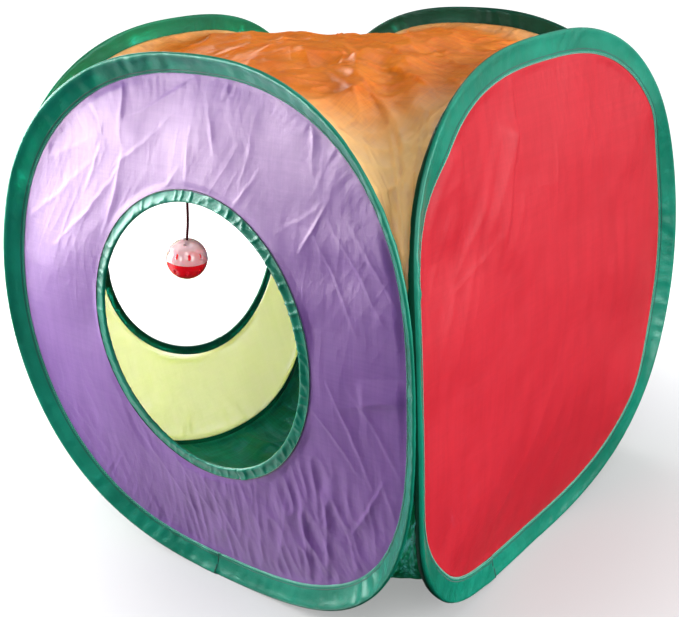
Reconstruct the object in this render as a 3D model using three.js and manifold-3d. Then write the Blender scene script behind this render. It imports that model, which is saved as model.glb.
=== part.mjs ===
// Collapsible cat cube: four sprung hoops in green sleeves hold six cloth panels apart.
// Millimetres, +Z up. The origin is on the floor under the middle of the cube's bounding box.
// The front (-Y) is lilac with a round entrance and a hanging ball, the right side (+X) is red,
// the left side (-X) is lime with a second entrance, the back (+Y) is blue, the top is orange
// and the floor cloth is green.
import * as THREE from 'three';
import { mergeVertices } from 'three/addons/utils/BufferGeometryUtils.js';
import Module from 'manifold-3d';

const wasm = await Module();
wasm.setup();

// Driving dimensions
const GAP = 0.3;
const CLOTH_THICKNESS = 1.2;
const HALF_CLOTH = CLOTH_THICKNESS / 2;
const SLEEVE_WIDTH = 18.8;
const SLEEVE_THICKNESS = 3.2;
const FOOT_SINK = 0.8;
const SLEEVE_PAIR_PITCH = SLEEVE_THICKNESS + 2 * GAP;
const RING_THICKNESS = 3.6;
const BALL_RADIUS = 16;
const BALL_WALL = 1.3;
const STRING_RADIUS = 0.9;
const KNOT_RADIUS = 2.6;

// The upright edges where two neighbouring sleeves are sewn together
const POSTS = {
  frontLeft: { x: -226.3, y: -221.7 },
  frontRight: { x: 225, y: -222 },
  backRight: { x: 217.1, y: 223.5 },
  backLeft: { x: -222, y: 224.1 },
};

// Shift that brings the bounding box's middle over the origin
const CENTRING = { x: 0.6, y: -1.3 };

// One row for each hoop, seen from outside. stand is the hoop plane's distance from the middle.
// Fullness is the superellipse exponent of that corner. headIn and footIn bend the middle of
// the hoop's head and foot towards the inside. The slants turn the sleeve out of the
// hoop's plane, at the sides from the given share of the half width.
const HOOPS = [
  {
    name: 'front', from: 'frontLeft', to: 'frontRight', facing: [0, -1], stand: 221.7,
    height: 450.7, headLeft: 2.19, headRight: 2.62, footLeft: 1.93, footRight: 2.7,
    headIn: 25.5, footIn: 22.9, lean: -0.12, skew: 5.5, inset: 6.8,
    slantHead: 34, slantFoot: 17, slantLeft: 31, slantRight: 44, turnFrom: 0.4,
  },
  {
    name: 'right', from: 'frontRight', to: 'backRight', facing: [1, 0], stand: 217.1,
    height: 450.2, headLeft: 3.27, headRight: 2.28, footLeft: 2.97, footRight: 1.96,
    headIn: 21.2, footIn: 26.8, lean: -0.56, skew: 1.8, inset: 2,
    slantHead: -4, slantFoot: 12, slantLeft: 30, slantRight: 32, turnFrom: 0.78,
  },
  {
    name: 'back', from: 'backRight', to: 'backLeft', facing: [0, 1], stand: 224.1,
    height: 442.1, headLeft: 2.29, headRight: 2.51, footLeft: 2.4, footRight: 2.4,
    headIn: 8.2, footIn: 17, lean: -0.92, skew: 0.2, inset: 3,
    slantHead: 0, slantFoot: 8, slantLeft: 37, slantRight: 37, turnFrom: 0.78,
  },
  {
    name: 'left', from: 'backLeft', to: 'frontLeft', facing: [-1, 0], stand: 215.1,
    height: 447.4, headLeft: 2.54, headRight: 2.32, footLeft: 2.35, footRight: 2.19,
    headIn: 13.7, footIn: 44.2, lean: 2.29, skew: -3.5, inset: 4,
    slantHead: 0, slantFoot: 0, slantLeft: 37, slantRight: 37, turnFrom: 0.78,
  },
];

// Bound entrance rings, outer size and binding width, from the middle of their hoop
const ENTRANCES = {
  front: { across: 9.9, up: 5.5, halfWidth: 117.4, halfHeight: 120.5, width: 10 },
  left: { across: -1.7, up: -1.7, halfWidth: 127.8, halfHeight: 120.2, width: 8.5 },
};

// Soft folds of each side panel: a ridge from one place to another, in the panel's own plane,
// with its half width and its height towards the outside
const PANEL_FOLDS = {
  front: [
    { fromAcross: -185, fromUp: 60, toAcross: -90, toUp: 130, halfWidth: 16, height: 3 },
    { fromAcross: -150, fromUp: 120, toAcross: -60, toUp: 160, halfWidth: 14, height: -3 },
    { fromAcross: -195, fromUp: -20, toAcross: -120, toUp: 60, halfWidth: 15, height: 2.5 },
    { fromAcross: 30, fromUp: 150, toAcross: 60, toUp: 190, halfWidth: 12, height: 2 },
    { fromAcross: 130, fromUp: 40, toAcross: 195, toUp: -110, halfWidth: 16, height: 3 },
    { fromAcross: 120, fromUp: -60, toAcross: 150, toUp: -160, halfWidth: 14, height: -2.5 },
    { fromAcross: 60, fromUp: -125, toAcross: 110, toUp: -180, halfWidth: 14, height: 2.5 },
    { fromAcross: -60, fromUp: -130, toAcross: 0, toUp: -185, halfWidth: 14, height: 2 },
  ],
  right: [
    { fromAcross: -70, fromUp: 170, toAcross: -95, toUp: 30, halfWidth: 14, height: 3 },
    { fromAcross: -195, fromUp: 90, toAcross: -120, toUp: 20, halfWidth: 16, height: 2.5 },
    { fromAcross: -200, fromUp: 40, toAcross: -130, toUp: -10, halfWidth: 14, height: -2 },
    { fromAcross: -150, fromUp: -120, toAcross: -110, toUp: -150, halfWidth: 12, height: 2 },
    { fromAcross: 60, fromUp: 150, toAcross: 150, toUp: 90, halfWidth: 22, height: 2 },
  ],
  back: [
    { fromAcross: -160, fromUp: 100, toAcross: -60, toUp: 40, halfWidth: 22, height: 2.5 },
    { fromAcross: 100, fromUp: -140, toAcross: 40, toUp: -40, halfWidth: 22, height: -2.5 },
  ],
  left: [
    { fromAcross: -170, fromUp: 110, toAcross: -110, toUp: 150, halfWidth: 16, height: 2 },
    { fromAcross: 150, fromUp: -110, toAcross: 110, toUp: -150, halfWidth: 16, height: 2 },
  ],
};

// Folds of the top and of the floor cloth, in plan, with their height
const TOP_FOLDS = [
  { fromX: -30, fromY: -60, toX: 110, toY: -70, halfWidth: 15, height: 6 },
  { fromX: 20, fromY: -120, toX: 90, toY: -10, halfWidth: 14, height: -6 },
  { fromX: 120, fromY: -150, toX: 70, toY: -60, halfWidth: 13, height: 6 },
  { fromX: 160, fromY: -120, toX: 60, toY: 10, halfWidth: 16, height: 5 },
  { fromX: -150, fromY: -90, toX: -40, toY: -30, halfWidth: 18, height: 4 },
  { fromX: -160, fromY: 20, toX: -115, toY: 75, halfWidth: 36, height: 7 },
  { fromX: -90, fromY: 130, toX: 0, toY: 60, halfWidth: 20, height: 1 },
  { fromX: 40, fromY: 150, toX: 110, toY: 40, halfWidth: 18, height: -5 },
  { fromX: 20, fromY: 30, toX: 150, toY: 60, halfWidth: 15, height: 5 },
];
const FLOOR_FOLDS = [
  { fromX: -160, fromY: -120, toX: -80, toY: -60, halfWidth: 16, height: 6 },
  { fromX: -170, fromY: 90, toX: -70, toY: 130, halfWidth: 18, height: 7 },
  { fromX: 60, fromY: -160, toX: 110, toY: -60, halfWidth: 16, height: 6 },
  { fromX: 130, fromY: 60, toX: 60, toY: 150, halfWidth: 18, height: 6 },
  { fromX: -160, fromY: 10, toX: -100, toY: -20, halfWidth: 14, height: 5 },
];

// Stations round a hoop: head and foot carry the top and the floor cloth, and the two short
// stretches between them lie against the neighbouring sleeves
const EDGE_STEPS = 20;
const CONTACT_STEPS = 4;
const LINE_SAMPLES = 1440;
const CONTACT_RECESSION = 0.012;
const POST_PULL_POWER = 24;
const CORNER_BLEND_POWER = 0.8;

const radians = THREE.MathUtils.degToRad;
const { lerp, smoothstep } = THREE.MathUtils;

// A point of a closed outline whose four corners have their own fullness
function outlinePoint(hoop, angle, halfWidth) {
  const c = Math.cos(angle);
  const s = Math.sin(angle);
  const bias = (value) => Math.sign(value) * Math.abs(value) ** CORNER_BLEND_POWER;
  const right = 0.5 + 0.5 * bias(c);
  const head = 0.5 + 0.5 * bias(s);
  const fullness = head * (right * hoop.headRight + (1 - right) * hoop.headLeft)
    + (1 - head) * (right * hoop.footRight + (1 - right) * hoop.footLeft);
  const across = Math.sign(c) * Math.abs(c) ** (2 / fullness) * halfWidth;
  const up = Math.sign(s) * Math.abs(s) ** (2 / fullness) * hoop.height / 2;
  return { across, up };
}

// The hoop's plan data: its own axes, its half width and how far its ends reach the posts
function planOf(hoop) {
  const out = new THREE.Vector3(hoop.facing[0], hoop.facing[1], 0);
  const along = new THREE.Vector3(-hoop.facing[1], hoop.facing[0], 0);
  const from = new THREE.Vector3(POSTS[hoop.from].x, POSTS[hoop.from].y, 0);
  const to = new THREE.Vector3(POSTS[hoop.to].x, POSTS[hoop.to].y, 0);
  const shift = SLEEVE_PAIR_PITCH / 2 * Math.SQRT1_2;
  return {
    out,
    along,
    middle: (from.dot(along) + to.dot(along)) / 2,
    halfWidth: (to.dot(along) - from.dot(along)) / 2 - shift,
    fromPull: from.dot(out) + shift - hoop.stand,
    toPull: to.dot(out) + shift - hoop.stand,
  };
}

// A point on the panel's bent surface, offset outwards by lift
function place(hoop, plan, across, up, lift) {
  const sideways = Math.min(1, Math.abs(across) / plan.halfWidth);
  const level = 2 * up / hoop.height;
  const bend = -(up >= 0 ? hoop.headIn : hoop.footIn) * level ** 2 * (1 - sideways ** 2);
  const pull = (across < 0 ? plan.fromPull : plan.toPull) * sideways ** POST_PULL_POWER;
  const reach = hoop.stand + bend + pull + lift + up * Math.tan(radians(hoop.lean));
  const shifted = plan.middle + across + hoop.skew * up / hoop.height;
  const point = plan.along.clone().multiplyScalar(shifted).addScaledVector(plan.out, reach);
  point.z = up + hoop.height / 2 - FOOT_SINK;
  return point;
}

// Walks a dense outline and returns points at the given lengths along it
function resample(points, wanted) {
  const lengths = [0];
  for (let i = 1; i < points.length; i += 1) {
    lengths.push(lengths[i - 1] + Math.hypot(
      points[i].across - points[i - 1].across,
      points[i].up - points[i - 1].up,
    ));
  }
  return Array.from({ length: wanted + 1 }, (_, k) => {
    const target = lengths[lengths.length - 1] * k / wanted;
    let i = 1;
    while (i < lengths.length - 1 && lengths[i] < target) i += 1;
    const t = (target - lengths[i - 1]) / (lengths[i] - lengths[i - 1]);
    return {
      across: lerp(points[i - 1].across, points[i].across, t),
      up: lerp(points[i - 1].up, points[i].up, t),
    };
  });
}

// The height above the hoop's middle where its side leaves the neighbouring sleeve
function partingHeight(fullness, height) {
  const sine = Math.sqrt(1 - (1 - CONTACT_RECESSION) ** fullness);
  return sine ** (2 / fullness) * height / 2;
}

// Heights where the top and the floor cloth end at each post, shared by its two hoops
function partingHeights() {
  const heights = {};
  for (const hoop of HOOPS) {
    for (const [post, side] of [[hoop.from, 'Left'], [hoop.to, 'Right']]) {
      heights[post] ??= { head: 0, foot: 0 };
      heights[post].head += partingHeight(hoop[`head${side}`], hoop.height) / 2;
      heights[post].foot += partingHeight(hoop[`foot${side}`], hoop.height) / 2;
    }
  }
  return heights;
}

// Stations in order: head from right to left, left side down, foot to the right, right side up
function stationsOf(hoop, plan, parting) {
  const dense = Array.from({ length: LINE_SAMPLES + 1 }, (_, i) => (
    outlinePoint(hoop, i * 2 * Math.PI / LINE_SAMPLES, plan.halfWidth)));
  const cut = (test) => dense.findIndex(test);
  const half = LINE_SAMPLES / 2;
  const marks = [
    cut((p) => p.up >= parting[hoop.to].head),
    cut((p, i) => i > LINE_SAMPLES / 4 && p.up <= parting[hoop.from].head),
    cut((p, i) => i > half && p.up <= -parting[hoop.from].foot),
    cut((p, i) => i > half * 1.5 && p.up >= -parting[hoop.to].foot),
  ];
  const stretch = (start, end, steps) => resample(dense.slice(start, end + 1), steps).slice(0, -1);
  const rightSide = dense.slice(marks[3], -1).concat(dense.slice(0, marks[0] + 1));
  return [
    ...stretch(marks[0], marks[1], EDGE_STEPS),
    ...stretch(marks[1], marks[2], CONTACT_STEPS),
    ...stretch(marks[2], marks[3], EDGE_STEPS),
    ...resample(rightSide, CONTACT_STEPS).slice(0, -1),
  ];
}

// The sleeve's frame at each station: its outer line, the way to its hem and its inner normal
function sleeveFrames(hoop, plan, stations) {
  const wire = stations.map((s) => place(hoop, plan, s.across, s.up, 0));
  return wire.map((point, k) => {
    const before = wire[(k + wire.length - 1) % wire.length];
    const after = wire[(k + 1) % wire.length];
    const tangent = after.clone().sub(before).normalize();
    const inPlane = new THREE.Vector3().crossVectors(plan.out, tangent).normalize();
    const inward = new THREE.Vector3().crossVectors(tangent, inPlane).negate().normalize();
    const { across, up } = stations[k];
    const nearPost = smoothstep(Math.abs(across) / plan.halfWidth, hoop.turnFrom, 1);
    const free = lerp(hoop.slantFoot, hoop.slantHead, 0.5 + up / hoop.height);
    const atPost = across < 0 ? hoop.slantLeft : hoop.slantRight;
    const slant = radians(lerp(free, atPost, nearPost));
    const hemWay = inPlane.clone().multiplyScalar(Math.cos(slant))
      .addScaledVector(inward, Math.sin(slant));
    const innerNormal = inPlane.clone().multiplyScalar(-Math.sin(slant))
      .addScaledVector(inward, Math.cos(slant));
    return { point, hemWay, innerNormal };
  });
}

// Turns numbered points and triangles into a geometry whose faces point out
function closedGeometry(points, triangles) {
  let volume = 0;
  for (const [a, b, c] of triangles) {
    volume += points[a].dot(new THREE.Vector3().crossVectors(points[b], points[c]));
  }
  const faces = volume < 0 ? triangles.map(([a, b, c]) => [a, c, b]) : triangles;
  const geometry = new THREE.BufferGeometry();
  geometry.setAttribute('position', new THREE.Float32BufferAttribute(
    points.flatMap((p) => [p.x, p.y, p.z]), 3));
  geometry.setIndex(faces.flat());
  geometry.computeVertexNormals();
  return geometry;
}

function quad(triangles, a, b, c, d) {
  triangles.push([a, b, c], [a, c, d]);
}

// A closed tube: the same section at each station, joined end to end
function sweptRing(sections) {
  const count = sections[0].length;
  const triangles = [];
  sections.forEach((_, k) => {
    const here = k * count;
    const next = (k + 1) % sections.length * count;
    for (let i = 0; i < count; i += 1) {
      const j = (i + 1) % count;
      quad(triangles, here + i, here + j, next + j, next + i);
    }
  });
  return closedGeometry(sections.flat(), triangles);
}

// The flat tube of cloth round the hoop wire: full at the wire, thin at the hem
const SLEEVE_SECTION = [
  { toHem: 0, side: 0.28 }, { toHem: 0.06, side: 0.5 }, { toHem: 0.24, side: 0.5 },
  { toHem: 1, side: 0.28 }, { toHem: 1, side: -0.28 }, { toHem: 0.24, side: -0.5 },
  { toHem: 0.06, side: -0.5 }, { toHem: 0, side: -0.28 },
];

function sleeveGeometry(frames) {
  return sweptRing(frames.map(({ point, hemWay, innerNormal }) => (
    SLEEVE_SECTION.map(({ toHem, side }) => {
      const corner = point.clone()
        .addScaledVector(hemWay, toHem * (SLEEVE_WIDTH - GAP))
        .addScaledVector(innerNormal, side * SLEEVE_THICKNESS);
      corner.z = Math.max(0, corner.z);
      return corner;
    }))));
}

function foldHeight(folds, x, y, keys) {
  let height = 0;
  for (const fold of folds) {
    const [fromX, fromY, toX, toY] = keys.map((key) => fold[key]);
    const lengthX = toX - fromX;
    const lengthY = toY - fromY;
    const along = ((x - fromX) * lengthX + (y - fromY) * lengthY)
      / (lengthX ** 2 + lengthY ** 2);
    const nearest = Math.min(1, Math.max(0, along));
    const away = Math.hypot(x - fromX - nearest * lengthX, y - fromY - nearest * lengthY);
    height += fold.height * Math.exp(-((away / fold.halfWidth) ** 2));
  }
  return height;
}

const PANEL_KEYS = ['fromAcross', 'fromUp', 'toAcross', 'toUp'];
const PLAN_KEYS = ['fromX', 'fromY', 'toX', 'toY'];

// How fast folds rise from a panel's edge, over its loops
const FOLD_RISE = 4;

// A side panel: loops of points from the entrance ring, or from the middle, out to the hem
function panelGeometry(hoop, plan, frames, loopCount) {
  const hems = frames.map(({ point, hemWay }) => (
    point.clone().addScaledVector(hemWay, SLEEVE_WIDTH + GAP)));
  const entrance = ENTRANCES[hoop.name];
  const rim = frames.map((_, k) => ringPoint(hoop, plan, hems[k]));
  const loops = [];
  for (let j = entrance ? 0 : 1; j <= loopCount; j += 1) {
    const t = j / loopCount;
    loops.push(hems.map((hem, k) => {
      const hemAcross = acrossOf(hoop, plan, hem);
      const hemUp = upOf(hoop, hem);
      const hemLift = hem.dot(plan.out) - place(hoop, plan, hemAcross, hemUp, 0).dot(plan.out);
      const start = entrance ? rim[k] : { across: 0, up: 0 };
      const across = lerp(start.across, hemAcross, t);
      const up = lerp(start.up, hemUp, t);
      const lift = lerp(-hoop.inset, hemLift, t ** 2);
  const calm = Math.min(1, FOLD_RISE * (1 - t), entrance ? FOLD_RISE * t : 1);
      const fold = foldHeight(PANEL_FOLDS[hoop.name], across, up, PANEL_KEYS);
      const middle = place(hoop, plan, across, up, lift + fold * calm);
      return t === 1 ? hem : middle;
    }));
  }
  return panelShell(loops, plan.out, entrance ? null : place(hoop, plan, 0, 0, -hoop.inset));
}

function acrossOf(hoop, plan, point) {
  return point.dot(plan.along) - plan.middle - hoop.skew * upOf(hoop, point) / hoop.height;
}

function upOf(hoop, point) {
  return point.z + FOOT_SINK - hoop.height / 2;
}

// The panel's edge just outside the ring, on the ray from the entrance's middle to a hem point
function ringPoint(hoop, plan, hem) {
  const entrance = ENTRANCES[hoop.name];
  if (!entrance) return null;
  const angle = Math.atan2(
    upOf(hoop, hem) - entrance.up,
    acrossOf(hoop, plan, hem) - entrance.across,
  );
  return {
    across: entrance.across + (entrance.halfWidth + GAP) * Math.cos(angle),
    up: entrance.up + (entrance.halfHeight + GAP) * Math.sin(angle),
    angle,
  };
}

// Gives loops of points a thickness, with walls at the rims
function panelShell(loops, out, centre) {
  const count = loops[0].length;
  const points = [];
  for (const side of [HALF_CLOTH, -HALF_CLOTH]) {
    for (const loop of loops) {
      for (const point of loop) points.push(point.clone().addScaledVector(out, side));
    }
  }
  const backStart = loops.length * count;
  const triangles = [];
  for (let j = 0; j < loops.length - 1; j += 1) {
    for (let i = 0; i < count; i += 1) {
      const next = (i + 1) % count;
      const a = j * count + i;
      const b = j * count + next;
      const c = (j + 1) * count + next;
      const d = (j + 1) * count + i;
      quad(triangles, a, d, c, b);
      quad(triangles, backStart + a, backStart + b, backStart + c, backStart + d);
    }
  }
  const outer = (loops.length - 1) * count;
  for (let i = 0; i < count; i += 1) {
    const next = (i + 1) % count;
    quad(triangles, outer + i, backStart + outer + i, backStart + outer + next, outer + next);
    if (centre) {
      triangles.push([i, next, 2 * backStart], [backStart + next, backStart + i, 2 * backStart + 1]);
    } else {
      quad(triangles, i, next, backStart + next, backStart + i);
    }
  }
  if (centre) {
    points.push(centre.clone().addScaledVector(out, HALF_CLOTH));
    points.push(centre.clone().addScaledVector(out, -HALF_CLOTH));
  }
  return closedGeometry(points, triangles);
}

// The bound ring round an entrance, over its own wire: thin outside, full at the inner edge
const RING_SECTION = [
  { toMiddle: 0, side: 0.25 }, { toMiddle: 0.62, side: 0.44 }, { toMiddle: 0.86, side: 0.5 },
  { toMiddle: 1, side: 0.24 }, { toMiddle: 1, side: -0.24 }, { toMiddle: 0.86, side: -0.5 },
  { toMiddle: 0.62, side: -0.44 }, { toMiddle: 0, side: -0.25 },
];

function ringGeometry(hoop, plan, frames) {
  const entrance = ENTRANCES[hoop.name];
  return sweptRing(frames.map(({ point, hemWay }) => {
    const hem = point.clone().addScaledVector(hemWay, SLEEVE_WIDTH + GAP);
    const { angle } = ringPoint(hoop, plan, hem);
    return RING_SECTION.map(({ toMiddle, side }) => {
      const inset = toMiddle * entrance.width;
      const across = entrance.across + (entrance.halfWidth - inset) * Math.cos(angle);
      const up = entrance.up + (entrance.halfHeight - inset) * Math.sin(angle);
      return place(hoop, plan, across, up, side * RING_THICKNESS - hoop.inset);
    });
  }));
}

// Top and floor cloth: a square net hung from the four heads or feet, relaxed like a film
const NET_ROUNDS = 1500;
const SEAM_FROM_HEM = 3;
const SEAM_CLEARANCE = 0.5;
const SLEEVE_HALF_AT_SEAM = 1;
const SEAM_DEPTH = SLEEVE_HALF_AT_SEAM + SEAM_CLEARANCE + HALF_CLOTH;
const CALM_CELLS = 3;

function seamPoints(frames, first, last) {
  const picked = [];
  for (let k = first; k <= last; k += 1) {
    const { point, hemWay, innerNormal } = frames[k % frames.length];
    picked.push(point.clone().addScaledVector(hemWay, SLEEVE_WIDTH - SEAM_FROM_HEM)
      .addScaledVector(innerNormal, SEAM_DEPTH));
  }
  return picked;
}

function netGeometry(seams, { bias, lowest, folds }) {
  const n = EDGE_STEPS;
  const net = Array.from({ length: n + 1 }, () => new Array(n + 1));
  for (let i = 0; i <= n; i += 1) {
    net[i][0] = seams.front[i];
    net[i][n] = seams.back[i];
    net[0][i] = seams.left[i];
    net[n][i] = seams.right[i];
  }
  for (const [i, j, one, other] of [
    [0, 0, seams.front[0], seams.left[0]],
    [n, 0, seams.front[n], seams.right[0]],
    [n, n, seams.back[n], seams.right[n]],
    [0, n, seams.back[0], seams.left[n]],
  ]) {
    net[i][j] = one.clone().lerp(other, 0.5);
  }
  for (let i = 1; i < n; i += 1) {
    for (let j = 1; j < n; j += 1) {
      net[i][j] = net[i][0].clone().lerp(net[i][n], j / n);
    }
  }
  const pullPerRound = bias / n ** 2;
  for (let round = 0; round < NET_ROUNDS; round += 1) {
    for (let i = 1; i < n; i += 1) {
      for (let j = 1; j < n; j += 1) {
        net[i][j].copy(net[i - 1][j]).add(net[i + 1][j]).add(net[i][j - 1]).add(net[i][j + 1])
          .multiplyScalar(0.25);
        net[i][j].z = Math.max(lowest, net[i][j].z + pullPerRound);
      }
    }
  }
  for (let i = 1; i < n; i += 1) {
    for (let j = 1; j < n; j += 1) {
      const calm = Math.min(1, Math.min(i, j, n - i, n - j) / CALM_CELLS);
      const point = net[i][j];
      point.z = Math.max(lowest, point.z + calm * foldHeight(folds, point.x, point.y, PLAN_KEYS));
    }
  }
  return netShell(net, lowest - HALF_CLOTH);
}

function netShell(net, floor) {
  const n = net.length - 1;
  const points = [];
  const normals = net.map((row, i) => row.map((_, j) => {
    const alongX = net[Math.min(n, i + 1)][j].clone().sub(net[Math.max(0, i - 1)][j]);
    const alongY = net[i][Math.min(n, j + 1)].clone().sub(net[i][Math.max(0, j - 1)]);
    return new THREE.Vector3().crossVectors(alongX, alongY).normalize();
  }));
  for (const side of [HALF_CLOTH, -HALF_CLOTH]) {
    net.forEach((row, i) => row.forEach((point, j) => {
      const moved = point.clone().addScaledVector(normals[i][j], side);
      moved.z = Math.max(floor, moved.z);
      if (side > 0) moved.z = Math.max(floor + HALF_CLOTH, moved.z);
      points.push(moved);
    }));
  }
  const at = (i, j) => i * (n + 1) + j;
  const under = (n + 1) ** 2;
  const triangles = [];
  for (let i = 0; i < n; i += 1) {
    for (let j = 0; j < n; j += 1) {
      quad(triangles, at(i, j), at(i + 1, j), at(i + 1, j + 1), at(i, j + 1));
      quad(triangles, under + at(i, j), under + at(i, j + 1), under + at(i + 1, j + 1),
        under + at(i + 1, j));
    }
    quad(triangles, at(i, 0), under + at(i, 0), under + at(i + 1, 0), at(i + 1, 0));
    quad(triangles, at(i, n), at(i + 1, n), under + at(i + 1, n), under + at(i, n));
    quad(triangles, at(0, i), at(0, i + 1), under + at(0, i + 1), under + at(0, i));
    quad(triangles, at(n, i), under + at(n, i), under + at(n, i + 1), at(n, i + 1));
  }
  return closedGeometry(points, triangles);
}

// Boolean help for the ball's slots
function solidOf(geometry) {
  const bare = geometry.clone();
  bare.deleteAttribute('normal');
  bare.deleteAttribute('uv');
  const merged = mergeVertices(bare, 1e-4);
  return new wasm.Manifold(new wasm.Mesh({
    numProp: 3,
    vertProperties: new Float32Array(merged.attributes.position.array),
    triVerts: new Uint32Array(merged.index.array),
  }));
}

function geometryOf(solid) {
  const mesh = solid.getMesh();
  const geometry = new THREE.BufferGeometry();
  geometry.setAttribute('position', new THREE.Float32BufferAttribute(mesh.vertProperties, 3));
  geometry.setIndex(Array.from(mesh.triVerts));
  geometry.computeVertexNormals();
  return geometry;
}

// Half of the lattice ball: a thin bowl with slots round it, three small vents above them and a
// hole at its pole
const BALL_SEGMENTS = 20;
const BALL_ARC_STEPS = 6;
const SLOT_COUNT = 9;
const SLOT_WIDTH = 2.4;
const SLOT_HEIGHT = 4.8;
const SLOT_LATITUDE = 24;
const SLOT_TURN = 3;
const VENT_COUNT = 3;
const VENT_WIDTH = 2.4;
const VENT_LATITUDE = 62;
const SLOT_SIDES = 6;
const POLE_HOLE_RADIUS = 2;
const POLE_HOLE_SIDES = 10;

function slotGeometry(width, height, latitude, turn) {
  const slot = new THREE.CylinderGeometry(width / 2, width / 2, BALL_RADIUS, SLOT_SIDES);
  slot.rotateZ(Math.PI / 2);
  slot.scale(1, 1, height / width);
  slot.translate(BALL_RADIUS, 0, 0);
  slot.rotateY(-radians(latitude));
  slot.rotateZ(radians(turn));
  return slot;
}

function halfBallGeometry(upwards) {
  const start = GAP / 2;
  const arc = (radius) => Array.from({ length: BALL_ARC_STEPS + 1 }, (_, k) => {
    const lowest = Math.asin(start / radius);
    const angle = lerp(lowest, Math.PI / 2, k / BALL_ARC_STEPS);
    const r = k === BALL_ARC_STEPS ? 0 : radius * Math.cos(angle);
    return new THREE.Vector2(r, radius * Math.sin(angle));
  });
  const profile = [...arc(BALL_RADIUS), ...arc(BALL_RADIUS - BALL_WALL).reverse()];
  profile.push(profile[0].clone());
  const shell = new THREE.LatheGeometry(profile, BALL_SEGMENTS);
  shell.rotateX(Math.PI / 2);
  let solid = solidOf(shell);
  for (let k = 0; k < SLOT_COUNT; k += 1) {
    solid = solid.subtract(solidOf(slotGeometry(
      SLOT_WIDTH, SLOT_HEIGHT, SLOT_LATITUDE, SLOT_TURN + k * 360 / SLOT_COUNT)));
  }
  for (let k = 0; k < VENT_COUNT; k += 1) {
    solid = solid.subtract(solidOf(slotGeometry(
      VENT_WIDTH, VENT_WIDTH, VENT_LATITUDE, SLOT_TURN + (k + 0.5) * 360 / VENT_COUNT)));
  }
  const hole = new THREE.CylinderGeometry(
    POLE_HOLE_RADIUS, POLE_HOLE_RADIUS, BALL_RADIUS, POLE_HOLE_SIDES);
  hole.rotateX(Math.PI / 2);
  hole.translate(0, 0, BALL_RADIUS);
  solid = solid.subtract(solidOf(hole));
  const geometry = geometryOf(solid);
  if (!upwards) geometry.rotateX(Math.PI);
  return geometry;
}

// The string hangs from the inner edge of the front ring, just left of its top, and its knot
// holds the ball from inside the hole at its pole
const STRING_ACROSS = 5.1;
const STRING_CLEARANCE = 0.98;
const STRING_LENGTH = 29.4;
const STRING_SAG = 0.8;
const STRING_LEAN = 7.5;
const STRING_STEPS = 12;
const STRING_SIDES = 4;
const KNOT_SEGMENTS = [8, 6];
const KNOT_BELOW_SHELL = Math.sqrt((KNOT_RADIUS + GAP) ** 2 - POLE_HOLE_RADIUS ** 2);

function stringTop(hoop, plan) {
  const entrance = ENTRANCES.front;
  const across = STRING_ACROSS - plan.middle;
  const share = (across - entrance.across) / (entrance.halfWidth - entrance.width);
  const up = entrance.up + (entrance.halfHeight - entrance.width) * Math.sqrt(1 - share ** 2);
  const top = place(hoop, plan, across, up, -hoop.inset);
  top.z -= STRING_CLEARANCE;
  return top;
}

function stringGeometry() {
  const at = (share, sag) => new THREE.Vector3(sag * STRING_SAG, 0, -share * STRING_LENGTH);
  const route = new THREE.CatmullRomCurve3(
    [at(0, 0), at(0.25, 0.7), at(0.55, 1), at(0.9, 0), at(1, 0)]);
  const section = new THREE.Shape().absarc(0, 0, STRING_RADIUS, 0, 2 * Math.PI);
  return new THREE.ExtrudeGeometry(section, {
    extrudePath: route, steps: STRING_STEPS, curveSegments: STRING_SIDES, bevelEnabled: false,
  });
}

// Colours, roughness and metalness of the pieces
const FINISHES = {
  sleeve: { color: '#3f9a86', roughness: 0.45 },
  front: { color: '#a98bc4', roughness: 0.55 },
  right: { color: '#dc3c47', roughness: 0.6 },
  back: { color: '#3f74c4', roughness: 0.6 },
  left: { color: '#e7f4a4', roughness: 0.6 },
  top: { color: '#d9892f', roughness: 0.6 },
  floor: { color: '#2c7d4c', roughness: 0.6 },
  string: { color: '#4a1420', roughness: 0.8 },
  ballUpper: { color: '#f0bcc0', roughness: 0.25 },
  ballLower: { color: '#e2323c', roughness: 0.25 },
};

const cube = new THREE.Group();
cube.position.set(CENTRING.x, CENTRING.y, 0);
const hanging = new THREE.Group();
cube.add(hanging);

function add(name, geometry, finish, parent = cube) {
  const mesh = new THREE.Mesh(geometry, new THREE.MeshStandardMaterial({ metalness: 0, ...finish }));
  mesh.name = name;
  parent.add(mesh);
  return mesh;
}

const PANEL_LOOPS = { front: 6, right: 6, back: 5, left: 5 };
const parting = partingHeights();
const built = {};
for (const hoop of HOOPS) {
  const plan = planOf(hoop);
  const frames = sleeveFrames(hoop, plan, stationsOf(hoop, plan, parting));
  built[hoop.name] = { hoop, plan, frames };
  add(`hoop_${hoop.name}`, sleeveGeometry(frames), FINISHES.sleeve);
  const panel = panelGeometry(hoop, plan, frames, PANEL_LOOPS[hoop.name]);
  add(`cloth_${hoop.name}`, panel, FINISHES[hoop.name]);
  if (ENTRANCES[hoop.name]) {
    add(`ring_${hoop.name}`, ringGeometry(hoop, plan, frames), FINISHES.sleeve);
  }
}

const HEAD = [0, EDGE_STEPS];
const FOOT = [EDGE_STEPS + CONTACT_STEPS, 2 * EDGE_STEPS + CONTACT_STEPS];

// A net edge runs from low to high X or Y, and a hoop's head runs from its right to its left
function seamsAt([first, last], headwards) {
  const edge = (name, reversed) => {
    const points = seamPoints(built[name].frames, first, last);
    return reversed === headwards ? points.reverse() : points;
  };
  return {
    front: edge('front', true),
    back: edge('back', false),
    left: edge('left', false),
    right: edge('right', true),
  };
}

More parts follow.
